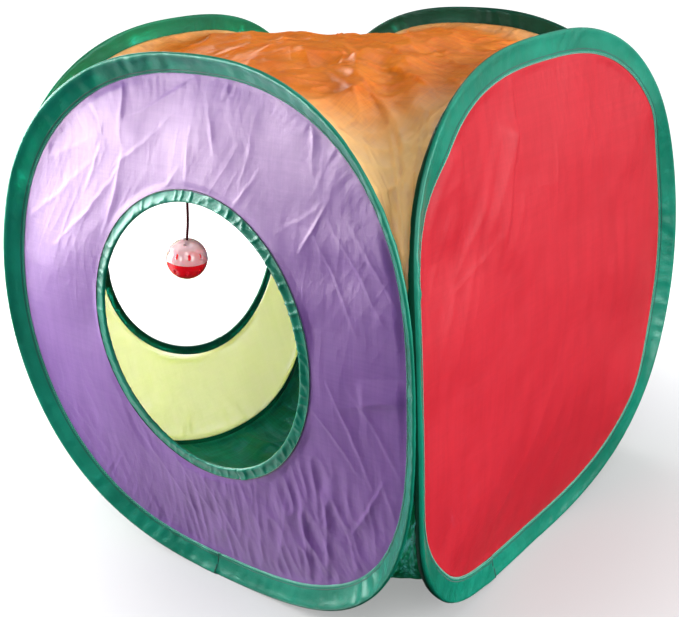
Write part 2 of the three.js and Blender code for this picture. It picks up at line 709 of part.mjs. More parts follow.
add('cloth_top', netGeometry(seamsAt(HEAD, true), {
  bias: 90, lowest: HALF_CLOTH, folds: TOP_FOLDS,
}), FINISHES.top);
add('cloth_floor', netGeometry(seamsAt(FOOT, false), {
  bias: -360, lowest: HALF_CLOTH, folds: FLOOR_FOLDS,
}), FINISHES.floor);

hanging.position.copy(stringTop(built.front.hoop, built.front.plan));
hanging.rotation.y = radians(STRING_LEAN);
const knotDrop = STRING_LENGTH + GAP + KNOT_RADIUS;
const ballDrop = knotDrop + BALL_RADIUS - BALL_WALL - KNOT_BELOW_SHELL;
add('string', stringGeometry(), FINISHES.string, hanging);
add('string_knot', new THREE.SphereGeometry(KNOT_RADIUS, ...KNOT_SEGMENTS), FINISHES.string, hanging)
  .position.z = -knotDrop;
add('ball_upper', halfBallGeometry(true), FINISHES.ballUpper, hanging).position.z = -ballDrop;
add('ball_lower', halfBallGeometry(false), FINISHES.ballLower, hanging).position.z = -ballDrop;

export default cube;
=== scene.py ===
"""Looks of the collapsible cat cube: sprung hoops in satin sleeves, six cloth panels, two bound
entrances and a lattice ball on a string. Shapes are worked out in millimetres, made in metres."""

import math

import bmesh
import bpy
import numpy as np
from mathutils import Matrix, Vector


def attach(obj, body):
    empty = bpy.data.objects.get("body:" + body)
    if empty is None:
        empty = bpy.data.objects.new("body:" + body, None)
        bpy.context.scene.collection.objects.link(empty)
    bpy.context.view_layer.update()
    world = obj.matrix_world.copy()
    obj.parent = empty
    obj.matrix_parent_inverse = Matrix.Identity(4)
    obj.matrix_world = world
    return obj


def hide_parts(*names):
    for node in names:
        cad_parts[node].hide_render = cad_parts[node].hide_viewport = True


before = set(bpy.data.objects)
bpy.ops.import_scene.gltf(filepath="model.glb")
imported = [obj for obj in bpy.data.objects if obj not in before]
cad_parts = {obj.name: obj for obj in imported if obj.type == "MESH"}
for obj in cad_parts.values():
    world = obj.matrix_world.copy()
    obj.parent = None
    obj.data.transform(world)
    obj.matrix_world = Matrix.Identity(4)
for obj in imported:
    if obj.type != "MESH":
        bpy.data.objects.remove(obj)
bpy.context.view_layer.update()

MM = 0.001
CENTRING = np.array([0.6, -1.3, 0.0])


# Camera: seen from the front right, a little above, rolled slightly
CAMERA = dict(azimuth=38.38, elevation=19.02, roll=-2.13, distance=1036.5,
              target_right=-13.27, target_up=-32.69, base_up=221.26)
FOCAL_PIXELS = 1109.33
IMAGE_WIDTH = 679
SENSOR = 36.0


def make_camera():
    azimuth, elevation, roll = (math.radians(CAMERA[k]) for k in ("azimuth", "elevation", "roll"))
    back = np.array([math.sin(azimuth) * math.cos(elevation),
                     -math.cos(azimuth) * math.cos(elevation), math.sin(elevation)])
    right = np.cross(-back, (0, 0, 1))
    right /= np.linalg.norm(right)
    up = np.cross(right, -back)
    rolled_right = right * math.cos(roll) + up * math.sin(roll)
    rolled_up = up * math.cos(roll) - right * math.sin(roll)
    base = np.array([0, 0, CAMERA["base_up"]]) + CENTRING
    place_at = base + back * CAMERA["distance"]
    target = base + rolled_right * CAMERA["target_right"] + rolled_up * CAMERA["target_up"]
    forward = target - place_at
    forward /= np.linalg.norm(forward)
    side = np.cross(forward, rolled_up)
    side /= np.linalg.norm(side)
    top = np.cross(side, forward)
    data = bpy.data.cameras.new("camera")
    data.sensor_width = SENSOR
    data.sensor_fit = "HORIZONTAL"
    data.lens = FOCAL_PIXELS / IMAGE_WIDTH * SENSOR
    camera = bpy.data.objects.new("camera", data)
    bpy.context.scene.collection.objects.link(camera)
    matrix = Matrix.Identity(4)
    for column, axis in enumerate((side, top, -forward, place_at * MM)):
        for row in range(3):
            matrix[row][column] = axis[row]
    camera.matrix_world = matrix
    bpy.context.scene.camera = camera


make_camera()
bpy.context.scene.view_settings.view_transform = "Standard"


# Construction, with the same named values as the part's source
GAP = 0.3
SLEEVE_WIDTH = 18.8
SLEEVE_REACH = SLEEVE_WIDTH + 1
SLEEVE_THICKNESS = 3.2
FOOT_SINK = 0.8
SLEEVE_PAIR_PITCH = SLEEVE_THICKNESS + 2 * GAP
CONTACT_RECESSION = 0.012
POST_PULL_POWER = 24
CORNER_BLEND_POWER = 0.8
SEAM_FROM_HEM = 3
SEAM_DEPTH = 2.1
POSTS = {"front_left": (-226.3, -221.7), "front_right": (225, -222),
         "back_right": (217.1, 223.5), "back_left": (-222, 224.1)}
HOOP_COLUMNS = ("start", "end", "facing", "stand", "height", "head_left", "head_right",
                "foot_left", "foot_right", "head_in", "foot_in", "lean", "skew", "inset",
                "slant_head", "slant_foot", "slant_left", "slant_right", "turn_from")
HOOP_ROWS = {
    "front": ("front_left", "front_right", (0, -1), 221.7, 450.7, 2.19, 2.62, 1.93, 2.7,
              25.5, 22.9, -0.12, 5.5, 6.8, 34, 17, 31, 44, 0.4),
    "right": ("front_right", "back_right", (1, 0), 217.1, 450.2, 3.27, 2.28, 2.97, 1.96,
              21.2, 26.8, -0.56, 1.8, 2, -4, 12, 30, 32, 0.78),
    "back": ("back_right", "back_left", (0, 1), 224.1, 442.1, 2.29, 2.51, 2.4, 2.4,
             8.2, 17, -0.92, 0.2, 3, 0, 8, 37, 37, 0.78),
    "left": ("back_left", "front_left", (-1, 0), 215.1, 447.4, 2.54, 2.32, 2.35, 2.19,
             13.7, 44.2, 2.29, -3.5, 4, 0, 0, 37, 37, 0.78),
}
HOOPS = {name: dict(zip(HOOP_COLUMNS, row), name=name) for name, row in HOOP_ROWS.items()}
ENTRANCES = {
    "front": dict(across=9.9, up=5.5, half_width=117.4, half_height=120.5, width=10),
    "left": dict(across=-1.7, up=-1.7, half_width=127.8, half_height=120.2, width=8.5),
}


def smooth(value, low, high):
    t = np.clip((value - low) / (high - low), 0, 1)
    return t * t * (3 - 2 * t)


def unit(vectors):
    return vectors / np.linalg.norm(vectors, axis=-1, keepdims=True)


def make_plan(hoop):
    out = np.array([*hoop["facing"], 0.0])
    along = np.array([-hoop["facing"][1], hoop["facing"][0], 0.0])
    start = np.array([*POSTS[hoop["start"]], 0.0])
    end = np.array([*POSTS[hoop["end"]], 0.0])
    shift = SLEEVE_PAIR_PITCH / 2 * math.sqrt(0.5)
    return dict(out=out, along=along, middle=(start @ along + end @ along) / 2,
                half_width=(end @ along - start @ along) / 2 - shift,
                start_pull=start @ out + shift - hoop["stand"],
                end_pull=end @ out + shift - hoop["stand"])


for _hoop in HOOPS.values():
    _hoop["plan"] = make_plan(_hoop)


def outline(hoop, angle):
    c, s = np.cos(angle), np.sin(angle)
    def ease(v):
        return np.sign(v) * np.abs(v) ** CORNER_BLEND_POWER
    right, head = 0.5 + 0.5 * ease(c), 0.5 + 0.5 * ease(s)
    fullness = (head * (right * hoop["head_right"] + (1 - right) * hoop["head_left"])
                + (1 - head) * (right * hoop["foot_right"] + (1 - right) * hoop["foot_left"]))
    across = np.sign(c) * np.abs(c) ** (2 / fullness) * hoop["plan"]["half_width"]
    up = np.sign(s) * np.abs(s) ** (2 / fullness) * hoop["height"] / 2
    return across, up


def place(hoop, across, up, lift):
    plan = hoop["plan"]
    sideways = np.minimum(1, np.abs(across) / plan["half_width"])
    level = 2 * up / hoop["height"]
    bend = -np.where(up >= 0, hoop["head_in"], hoop["foot_in"]) * level ** 2 * (1 - sideways ** 2)
    pull = np.where(across < 0, plan["start_pull"], plan["end_pull"]) * sideways ** POST_PULL_POWER
    reach = hoop["stand"] + bend + pull + lift + up * math.tan(math.radians(hoop["lean"]))
    shifted = plan["middle"] + across + hoop["skew"] * up / hoop["height"]
    point = shifted[..., None] * plan["along"] + reach[..., None] * plan["out"]
    point[..., 2] = up + hoop["height"] / 2 - FOOT_SINK
    return point


def up_of(hoop, point):
    return point[..., 2] + FOOT_SINK - hoop["height"] / 2


def across_of(hoop, point):
    plan = hoop["plan"]
    skewed = hoop["skew"] * up_of(hoop, point) / hoop["height"]
    return point @ plan["along"] - plan["middle"] - skewed


def sleeve_frames(hoop, count):
    """Evenly spaced stations round a hoop: outer line, way to the hem, inner normal."""
    across, up = outline(hoop, np.linspace(0, 2 * math.pi, 2881))
    length = np.r_[0, np.cumsum(np.hypot(np.diff(across), np.diff(up)))]
    wanted = np.linspace(0, length[-1], count, endpoint=False)
    across, up = np.interp(wanted, length, across), np.interp(wanted, length, up)
    wire = place(hoop, across, up, np.zeros(count))
    tangent = unit(np.roll(wire, -1, 0) - np.roll(wire, 1, 0))
    in_plane = unit(np.cross(hoop["plan"]["out"], tangent))
    inward = -np.cross(tangent, in_plane)
    share = np.abs(across) / hoop["plan"]["half_width"]
    near = smooth(share, hoop["turn_from"], 1)
    share = 0.5 + up / hoop["height"]
    free = hoop["slant_foot"] + (hoop["slant_head"] - hoop["slant_foot"]) * share
    at_post = np.where(across < 0, hoop["slant_left"], hoop["slant_right"])
    slant = np.radians(free + (at_post - free) * near)[:, None]
    return dict(wire=wire, across=across, up=up, arc=wanted, total=length[-1],
                hem_way=in_plane * np.cos(slant) + inward * np.sin(slant),
                inner=-in_plane * np.sin(slant) + inward * np.cos(slant))


# Smooth noise that is the same each run: waves with random ways, lengths and phases
class Waves:
    def __init__(self, seed, shortest, longest, count=28, way=None, spread=180.0):
        rng = np.random.default_rng(seed)
        wave = np.exp(rng.uniform(math.log(shortest), math.log(longest), count))
        heading = np.radians((rng.uniform(0, 360, count) if way is None
                              else way + rng.uniform(-spread, spread, count)))
        self.kx = 2 * math.pi / wave * np.cos(heading)
        self.ky = 2 * math.pi / wave * np.sin(heading)
        self.phase = rng.uniform(0, 2 * math.pi, count)
        self.scale = math.sqrt(2 / count)

    def __call__(self, x, y=0.0):
        total = 0.0
        for kx, ky, phase in zip(self.kx, self.ky, self.phase):
            total = total + np.cos(kx * x + ky * y + phase)
        return total * self.scale


def ridges(field, sharpness=3.0):
    """Sharp lines where the noise passes zero, from 0 to 1."""
    return np.exp(-sharpness * np.abs(field))


def stretched(noise, x, y, way, stretch):
    """Noise drawn out along a way, in degrees."""
    c, s = math.cos(math.radians(way)), math.sin(math.radians(way))
    return noise((c * x + s * y) / stretch, -s * x + c * y)


WOBBLE = Waves(5, 16, 40, 16)


def creases(rows, x, y):
    """Sharp soft-ended ridges; the far side falls away more gently than the near side. The columns
    of a row: start x and y, end x and y, width, height."""
    total = np.zeros_like(x)
    wobble = 0.35 * WOBBLE(x, y)
    for x0, y0, x1, y1, width, height in rows:
        dx, dy = x1 - x0, y1 - y0
        length = math.hypot(dx, dy)
        along = ((x - x0) * dx + (y - y0) * dy) / length ** 2
        away = ((x - x0) * dy - (y - y0) * dx) / length
        away = away + wobble + 0.025 * length * np.sin(math.pi * np.clip(along, 0, 1))
        beyond = np.maximum(0, np.maximum(-along, along - 1)) * length
        ends = np.exp(-(beyond / (1.6 * width)) ** 2) * (0.35 + 0.65 * np.sin(
            math.pi * np.clip(along, 0.08, 0.92)) ** 0.7)
        side = np.where(away > 0, width * 0.28, width * 0.75)
        total += 0.42 * height * ends * np.exp(-np.abs(away / side) ** 1.2)
    return total


def pleats(rows, x, y):
    """Narrow slanting facets with crisp edges, widening along their length. The columns of a row:
    start x and y, end x and y, start width, end width, height."""
    total = np.zeros_like(x)
    for x0, y0, x1, y1, start_width, end_width, height in rows:
        dx, dy = x1 - x0, y1 - y0
        length = math.hypot(dx, dy)
        along = ((x - x0) * dx + (y - y0) * dy) / length ** 2
        away = ((x - x0) * dy - (y - y0) * dx) / length
        width = start_width + (end_width - start_width) * np.clip(along, 0, 1)
        widest = max(start_width, end_width)
        ramp = np.clip(away / width + 0.5, 0, 1)
        beyond = np.maximum(0, away - width / 2)
        ends = smooth(along, -0.05, 0.12) * (1 - smooth(along, 0.7, 1.1))
        total += height * width / widest * ends * ramp * np.exp(-(beyond / (2.5 * widest)) ** 2)
    return total


PLEATS = {
    "front": [(168, 8, 212, 12, 10, 16, 1.6), (-73, 199, -70, 168, 3, 7, 0.7)],
    "right": [(-57, 210, -60, 140, 2, 5, 2.6), (-58, 168, -88, 84, 8, 3, 5.0),
              (-142, 170, -148, 96, 7, 13, 3.6)],
    "left": [], "back": [],
}


# Creases of the two panels that face the camera, in each panel's own plane, seen from outside
FRONT_CREASES = [
    (-73, 199, -71, 163, 6, 1.8), (-1, 205, -53, 178, 5, 2.0), (-25, 171, -69, 140, 5, 1.6),
    (-69, 140, -91, 80, 6, 1.8), (-95, 145, -111, 116, 4, 1.6), (-110, 152, -159, 133, 6, 1.0),
    (-111, 131, -194, 76, 7, 1.2), (-75, 130, -149, 63, 5, 1.5), (-8, 137, -28, 116, 4, 1.4),
    (5, 164, 4, 134, 6, 1.4), (21, 187, 31, 158, 5, 1.0), (121, 194, 126, 161, 5, 1.7),
    (137, 128, 120, 101, 4, 2.2), (137, 133, 102, 110, 5, 0.9), (72, 141, 56, 122, 4, 1.4),
    (131, 109, 166, 48, 3.5, 1.4), (149, 114, 189, 60, 3.5, 1.3), (161, 121, 209, 59, 3.5, 1.2),
    (68, 176, 61, 140, 5, 0.8), (126, -21, 163, -62, 4, 1.2), (145, -3, 176, -71, 4, 1.4),
    (164, -1, 202, -57, 5, 1.0), (168, -10, 211, 2, 13, 2.6), (185, -72, 160, -116, 5, 2.2),
    (189, -70, 197, -95, 6, 1.6), (106, -107, 105, -176, 6, 1.9), (131, -98, 127, -169, 7, 2.3),
    (150, -118, 157, -149, 6, 1.9), (30, -105, 25, -163, 5, 1.1), (96, -93, 72, -180, 6, 1.3),
    (-4, -117, 29, -188, 5, 1.3), (-189, -79, -129, -127, 6, 1.4), (-177, -98, -124, -157, 5, 1.1),
    (-73, -98, -17, -174, 5, 1.4), (-47, -90, 9, -174, 5, 1.3), (59, -115, 52, -189, 6, 1.4),
    (174, -88, 178, -134, 6, 1.5),
]
RIGHT_CREASES = [
    (-169, 164, -184, 117, 6, 1.4), (-112, 123, -151, 81, 4, 1.5), (-99, 90, -158, 69, 4, 1.4),
    (-160, 124, -189, 73, 4, 1.4), (-55, 121, -66, 85, 4, 0.9), (-4, 137, -5, 107, 4, 0.9),
    (57, 150, 76, 94, 6, 0.8), (40, 192, 75, 155, 6, 0.8), (-162, -101, -148, -130, 4, 1.8),
    (-129, 155, -172, 138, 5, 0.9), (-62, 119, 0, 108, 5, 0.7), (-191, 52, -180, -20, 7, 0.8),
]
LEFT_CREASES = [(-170, 110, -110, 150, 7, 1.2), (150, -110, 110, -150, 7, 1.2)]
BACK_CREASES = [(-160, 100, -60, 40, 8, 1.6), (100, -140, 40, -40, 8, 1.4),
                (60, 170, 80, 90, 6, 1.5), (-120, -90, -150, -150, 6, 1.4)]
# Fields of fine wrinkles: middle x and y, reach, heading, spacing, stretch, lines, facets
REGIONS = {
    "front": [(-110, 130, 75, 58, 34, 6, 0.2, 0.2), (-160, 20, 60, 62, 40, 6, 0.12, 0.15),
              (-110, -110, 70, -60, 20, 6, 0.2, 0.3), (10, -165, 60, -84, 18, 5, 0.3, 0.5),
              (120, -140, 65, -76, 20, 4, 0.4, 0.9)],
    "right": [(-130, 90, 70, 62, 30, 6, 0.4, 0.5), (60, 110, 90, -70, 44, 5, 0.18, 0.3),
              (-40, -120, 120, 70, 48, 5, 0.1, 0.3)],
    "left": [(0, -160, 120, 88, 30, 6, 0.1, 0.2), (0, 160, 120, 88, 30, 6, 0.1, 0.2)],
    "back": [(-80, 110, 110, 60, 30, 5, 0.3, 0.6), (90, -110, 110, -60, 30, 5, 0.3, 0.6)],
}
# Gathers under the bindings: how high they are at the head, the foot and the sides
GATHERS = {"front": (0.22, 0.26, 0.03), "right": (0.12, 0.12, 0.06), "left": (0.1, 0.1, 0.1),
           "back": (0.6, 0.6, 0.3)}
PANEL_CREASES = {"front": FRONT_CREASES, "right": RIGHT_CREASES, "left": LEFT_CREASES,
                 "back": BACK_CREASES}
SEEDS = {"front": 11, "right": 23, "back": 37, "left": 41, "top": 53, "floor": 67}


def panel_relief(name, x, y, arc, from_hem, total):
    seed = SEEDS[name]
    relief = 0.8 * Waves(seed, 90, 240)(x, y) + 0.12 * Waves(seed + 1, 30, 70)(x, y)
    relief = relief + creases(PANEL_CREASES[name], x, y) + pleats(PLEATS[name], x, y)
    for row, (cx, cy, reach, way, spacing, stretch, lines, facets) in enumerate(REGIONS[name]):
        near = np.exp(-((x - cx) ** 2 + (y - cy) ** 2) / reach ** 2)
        noise = Waves(seed + 10 + row, spacing * 0.8, spacing * 2.2)
        fine = Waves(seed + 40 + row, spacing * 0.45, spacing)
        patches = smooth(Waves(seed + 70 + row, 25, 70)(x, y), -0.2, 0.9)
        relief = relief + near * (
            lines * ridges(stretched(noise, x, y, way, stretch), 9) * patches
            + 0.4 * lines * ridges(stretched(fine, x, y, way + 9, stretch), 7)
            - facets * np.abs(stretched(noise, x, y, way - 6, stretch * 0.6)))
    if name == "front":
        band = np.exp(-((x - 160) / 60) ** 2 - ((y - 90) / 80) ** 2)
        relief = relief + 0.7 * band * np.sin(y / 7.5 + 0.012 * (x - 160))
    head, foot, side = GATHERS[name]
    level = y / 200
    strength = (side + (head - side) * smooth(level, 0.5, 0.9)
                + (foot - side) * smooth(-level, 0.3, 0.8))
    fans = Waves(seed + 5, 7, 22, 40)
    shear = 0.35 * np.sin(2 * math.pi * arc / total * 3 + 1)
    gather = fans(arc + shear * from_hem) + 0.5 * Waves(seed + 6, 5, 9, 30)(arc)
    relief = relief + strength * gather * np.exp(-from_hem / 11)
    return relief


# Mesh helpers
def mesh_piece(name, points, faces, material):
    mesh = bpy.data.meshes.new(name)
    mesh.from_pydata(((np.asarray(points) + CENTRING) * MM).tolist(), [], faces)
    mesh.validate()
    mesh.polygons.foreach_set("use_smooth", [True] * len(mesh.polygons))
    piece = bpy.data.objects.new(name, mesh)
    bpy.context.scene.collection.objects.link(piece)
    mesh.materials.append(material)
    return piece


def round_sections(spine, tangent, aside, radius, sides):
    """Sections of a cord round its spine."""
    normal = unit(np.cross(tangent, aside))
    other = np.cross(tangent, normal)
    around = np.linspace(0, 2 * math.pi, sides, endpoint=False)[None, :, None]
    outwards = np.cos(around) * normal[:, None] + np.sin(around) * other[:, None]
    return spine[:, None] + radius * outwards


def capped(stations, sides):
    """Faces of an open tube with both its ends closed."""
    return [*ring_quads(stations, sides), list(range(sides))[::-1],
            [(stations - 1) * sides + i for i in range(sides)]]


def turn_out(piece):
    work = bmesh.new()
    work.from_mesh(piece.data)
    bmesh.ops.recalc_face_normals(work, faces=work.faces)
    work.to_mesh(piece.data)
    work.free()
    return piece


def join_part(piece, body, slot, *cad_nodes):
    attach(piece, body)
    for cad_node in cad_nodes:
        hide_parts(cad_node)


def ring_quads(rows, count, offset=0, flip=False):
    """Quads between consecutive closed rows of points."""
    j, i = np.meshgrid(np.arange(rows - 1), np.arange(count), indexing="ij")
    a = offset + j * count + i
    b = offset + j * count + (i + 1) % count
    quads = np.stack([a, b, b + count, a + count], -1).reshape(-1, 4)
    return (quads[:, ::-1] if flip else quads).tolist()


def rim_strip(fine, count, coarse, flip):
    """Faces from a fine closed row to one with every INNER_STEP-th point."""
    faces = []
    for k in range(count // INNER_STEP):
        row = [fine + (INNER_STEP * k + m) % count for m in range(INNER_STEP + 1)]
        face = row + [coarse + (k + 1) % (count // INNER_STEP), coarse + k]
        faces.append(face[::-1] if flip else face)
    return faces


def grid_quads(rows, count, offset=0, flip=False):
    j, i = np.meshgrid(np.arange(rows - 1), np.arange(count - 1), indexing="ij")
    a = offset + j * count + i
    quads = np.stack([a, a + 1, a + count + 1, a + count], -1).reshape(-1, 4)
    return (quads[:, ::-1] if flip else quads).tolist()


def swept(sections):
    """Closed tube from an array of sections: station, section point, xyz."""
    stations, count = sections.shape[:2]
    faces = ring_quads(stations, count)
    last, k = (stations - 1) * count, np.arange(count)
    faces += np.stack([last + k, last + (k + 1) % count, (k + 1) % count, k], -1).tolist()
    return sections.reshape(-1, 3), faces


# Materials
def linear(hex_code):
    values = [int(hex_code[i:i + 2], 16) / 255 for i in (1, 3, 5)]
    return [v / 12.92 if v <= 0.04045 else ((v + 0.055) / 1.055) ** 2.4 for v in values] + [1.0]


def fill(tree, socket, value):
    """Gives a socket its value, or links it where the value is another node's output."""
    if isinstance(value, bpy.types.NodeSocket):
        tree.links.new(value, socket)
    else:
        socket.default_value = value


def node(tree, kind, *first, **settings):
    """A shader node: its first inputs in order, others by their capitalised names, and its own
    properties in small letters."""
    made = tree.nodes.new("ShaderNode" + kind)
    for key, value in settings.items():
        if key[0].islower():
            setattr(made, key, value)
    for socket, value in zip(made.inputs, first):
        fill(tree, socket, value)
    for key, value in settings.items():
        if key[0].isupper():
            fill(tree, made.inputs[key.replace("_", " ")], value)
    return made


def maths(tree, operation, *values):
    return node(tree, "Math", *values, operation=operation).outputs[0]


def noise(tree, vector, scale, detail, roughness=0.5, distortion=0.0):
    return node(tree, "TexNoise", Vector=vector, Scale=scale, Detail=detail, Roughness=roughness,
                Distortion=distortion).outputs["Fac"]


def mapped(tree, vector, **settings):
    return node(tree, "Mapping", Vector=vector, **settings).outputs[0]


def eased(tree, value, low, high, most, least=0.0):
    """The least at low and the most at high, with a smooth step between."""
    return node(tree, "MapRange", interpolation_type="SMOOTHSTEP", Value=value, From_Min=low,
                From_Max=high, To_Min=least, To_Max=most).outputs["Result"]


def two_tone(tree, value, low, high, shade, main):
    """The shade up to low, the main colour from high on."""
    ramp = node(tree, "ValToRGB", value)
    for element, position, colour in zip(ramp.color_ramp.elements, (low, high), (shade, main)):
        element.position = position
        element.color = linear(colour)
    return ramp.outputs["Color"]


def bump(tree, height, strength, distance, normal=None):
    made = node(tree, "Bump", Strength=strength, Distance=distance, Height=height)
    if normal:
        fill(tree, made.inputs["Normal"], normal)
    return made.outputs[0]


def new_material(name, roughness, **sockets):
    material = bpy.data.materials.new(name)
    material.use_nodes = True
    shader = material.node_tree.nodes["Principled BSDF"]
    for key, value in dict(sockets, Roughness=roughness).items():
        shader.inputs[key.replace("_", " ")].default_value = value
    return material, material.node_tree, shader


def plane_vector(tree, axes):
    """Object coordinates laid onto the plane of a panel."""
    split = node(tree, "SeparateXYZ", tree.nodes.new("ShaderNodeTexCoord").outputs["Object"])
    return node(tree, "CombineXYZ", split.outputs[axes[0]], split.outputs[axes[1]]).outputs[0]


WEAVE_PITCH = 0.00045
# Uneven warp and weft, one to two threads wide: how often they change along each axis, per metre
WARP_AND_WEFT = ((620.0, 14.0, 1.0), (12.0, 480.0, 1.0))
STREAK_SHARE = 0.55
# How far the painted corner glare goes towards its pale tone
CORNER_GLARE_SHARE = 0.85


def weave_height(tree, vector):
    """Crossing threads: two fine wave patterns at right angles."""
    return maths(tree, "ADD", *[
        node(tree, "TexWave", bands_direction=way, Vector=vector, Distortion=0.6,
             Scale=math.pi / 10 / WEAVE_PITCH).outputs["Fac"] for way in ("X", "Y")])


def fold_lines(tree, vector, rows):
    """Fine crisp fold lines: ridged noise drawn out along a heading, in patches."""
    total = 0.0
    for heading, along, across, strength in rows:
        drawn_out = mapped(tree, vector, vector_type="TEXTURE", Scale=(along, across, 1.0),
                           Rotation=(0, 0, math.radians(heading)))
        ridged = node(tree, "TexNoise", noise_type="RIDGED_MULTIFRACTAL", Vector=drawn_out, Scale=1.0,
                      Detail=1.5, Roughness=0.5, Distortion=0.25, Offset=1.0, Gain=1.5)
        patches = eased(tree, noise(tree, vector, 0.7 / along, 1.0), 0.42, 0.62, strength)
        total = maths(tree, "MULTIPLY_ADD", ridged.outputs["Fac"], patches, total)
    return total


def painted_glare_towards_corners(tree, vector, colour, pale, start, full):
    """Painted highlight: the colour is mixed towards a pale tone from the middle out to the corners,
    standing in for glare there.
    """
    from_middle = node(tree, "VectorMath", vector, operation="LENGTH").outputs["Value"]
    share = eased(tree, from_middle, start, full, CORNER_GLARE_SHARE)
    return node(tree, "MixRGB", share, colour, linear(pale)).outputs["Color"]


def cloth_material(name, main, shade, axes, roughness, translucent, sheen, crumple,
                   streak=(26.0, 4.0), gloss=0.5, tint=(1, 1, 1, 1), folds=(), corner_glare=None):
    material, tree, shader = new_material(
        name, roughness, Sheen_Weight=sheen, Sheen_Roughness=0.4, Specular_IOR_Level=gloss,
        Specular_Tint=tint, Subsurface_Weight=translucent,
        Subsurface_Scale=0.004, Subsurface_Radius=(1.0, 1.0, 1.0))
    vector = plane_vector(tree, axes)
    threads = maths(tree, "ADD", *[noise(tree, mapped(tree, vector, Scale=scale), 1.0, 2.0)
                                   for scale in WARP_AND_WEFT])
    cloud = noise(tree, mapped(tree, vector, Scale=(*streak, 1.0)), 3.0, 6.0, 0.6)
    shade_at = maths(tree, "SUBTRACT", maths(tree, "MULTIPLY_ADD", threads, STREAK_SHARE, cloud),
                     STREAK_SHARE)
    colour = two_tone(tree, shade_at, 0.3, 0.66, shade, main)
    if corner_glare:
        colour = painted_glare_towards_corners(tree, vector, colour, *corner_glare)
    normal = bump(tree, noise(tree, vector, 55.0, 5.0, 0.62, 0.7), crumple, 0.004)
    if folds:
        normal = bump(tree, fold_lines(tree, vector, folds), 1.0, 0.001, normal)
    fill(tree, shader.inputs["Base Color"], colour)
    weave = bump(tree, weave_height(tree, vector), 0.25, 0.0001, normal)
    fill(tree, shader.inputs["Normal"], weave)
    return material


# Two-toned stuffs: noise of the colour and its span, then rows of noise, strength and depth for the
# bumps. Noise is scale, detail, roughness and distortion.
SATIN_STUFF = ((14.0, 5.0, 0.55), (0.34, 0.68), [((90.0, 4.0, 0.6, 0.4), 0.3, 0.002),
                                               ((1400.0, 2.0), 0.2, 0.0002)])
THREAD_STUFF = ((900.0, 3.0), (0.35, 0.65), [((900.0, 3.0), 0.4, 0.0002)])
PLASTIC_STUFF = ((60.0, 3.0), (0.3, 0.7), [((700.0, 2.0), 0.06, 0.0002)])


def stuff_material(name, main, shade, roughness, stuff, **sockets):
    material, tree, shader = new_material(name, roughness, **sockets)
    vector = tree.nodes.new("ShaderNodeTexCoord").outputs["Object"]
    cloud, span, bumps = stuff
    fill(tree, shader.inputs["Base Color"],
         two_tone(tree, noise(tree, vector, *cloud), *span, shade, main))
    normal = None
    for texture, strength, distance in bumps:
        normal = bump(tree, noise(tree, vector, *texture), strength, distance, normal)
    fill(tree, shader.inputs["Normal"], normal)
    return material


def satin_material(name, main, shade, roughness, gloss=0.45):
    return stuff_material(name, main, shade, roughness, SATIN_STUFF, Specular_IOR_Level=gloss,
                          Specular_Tint=(0.7, 1, 0.92, 1), Subsurface_Weight=0.35,
                          Subsurface_Scale=0.006, Subsurface_Radius=(0.4, 1.0, 0.8))


def thread_material(name, main, shade, sheen=0.3, gloss=0.5):
    return stuff_material(name, main, shade, 0.6, THREAD_STUFF, Sheen_Weight=sheen,
                          Specular_IOR_Level=gloss)


def plastic_material(name, main, shade, clearness):
    return stuff_material(name, main, shade, 0.14, PLASTIC_STUFF, Transmission_Weight=clearness,
                          IOR=1.25, Subsurface_Weight=0.2, Subsurface_Scale=0.004, Coat_Weight=0.5)


SATIN = satin_material("satin_green", "#12826b", "#0b6752", 0.36)
# A darker, yellower copy of the same sleeve satin for the back and left sleeves and the left binding:
# painted shade
SATIN_SHADED_COPY = satin_material("satin_green_shaded_copy", "#0c7852", "#085d40", 0.42, 0.4)
# Much darker satin for the seen inner sides of the back and right sleeves: painted shade
SATIN_PAINTED_SHADE = satin_material("satin_green_painted_shade", "#084a35", "#063626", 0.5, 0.2)
# Pale mint: the thread of the zigzag stitches, and also a painted highlight line along each sleeve's
# hem edge
PALE_THREAD_AND_HIGHLIGHT = thread_material("thread_mint_and_highlight", "#63b8a2", "#4fa38c")
# Dark green: the thread of the seam lines and joins, and also a painted shadow line round the
# entrances' bindings
DARK_THREAD_AND_SHADOW = thread_material("thread_dark_and_painted_shadow", "#0c3c36", "#072826")
CORD = thread_material("cord_maroon", "#4c0714", "#2c040b", 0.0, 0.1)
PINK = plastic_material("plastic_pink", "#fff0f2", "#ffe2e6", 0.6)
RED = plastic_material("plastic_red", "#ff2a40", "#fa2036", 0.45)
# Fold lines: heading in degrees, reach along and across in metres, strength
FRONT_FOLDS = ((58, 0.09, 0.014, 0.18), (86, 0.07, 0.013, 0.16), (-66, 0.1, 0.015, 0.16))
RIGHT_FOLDS = ((64, 0.09, 0.02, 0.16), (-80, 0.1, 0.022, 0.1))
NET_FOLDS = ((-38, 0.08, 0.022, 0.7), (25, 0.07, 0.02, 0.5), (80, 0.06, 0.018, 0.4))
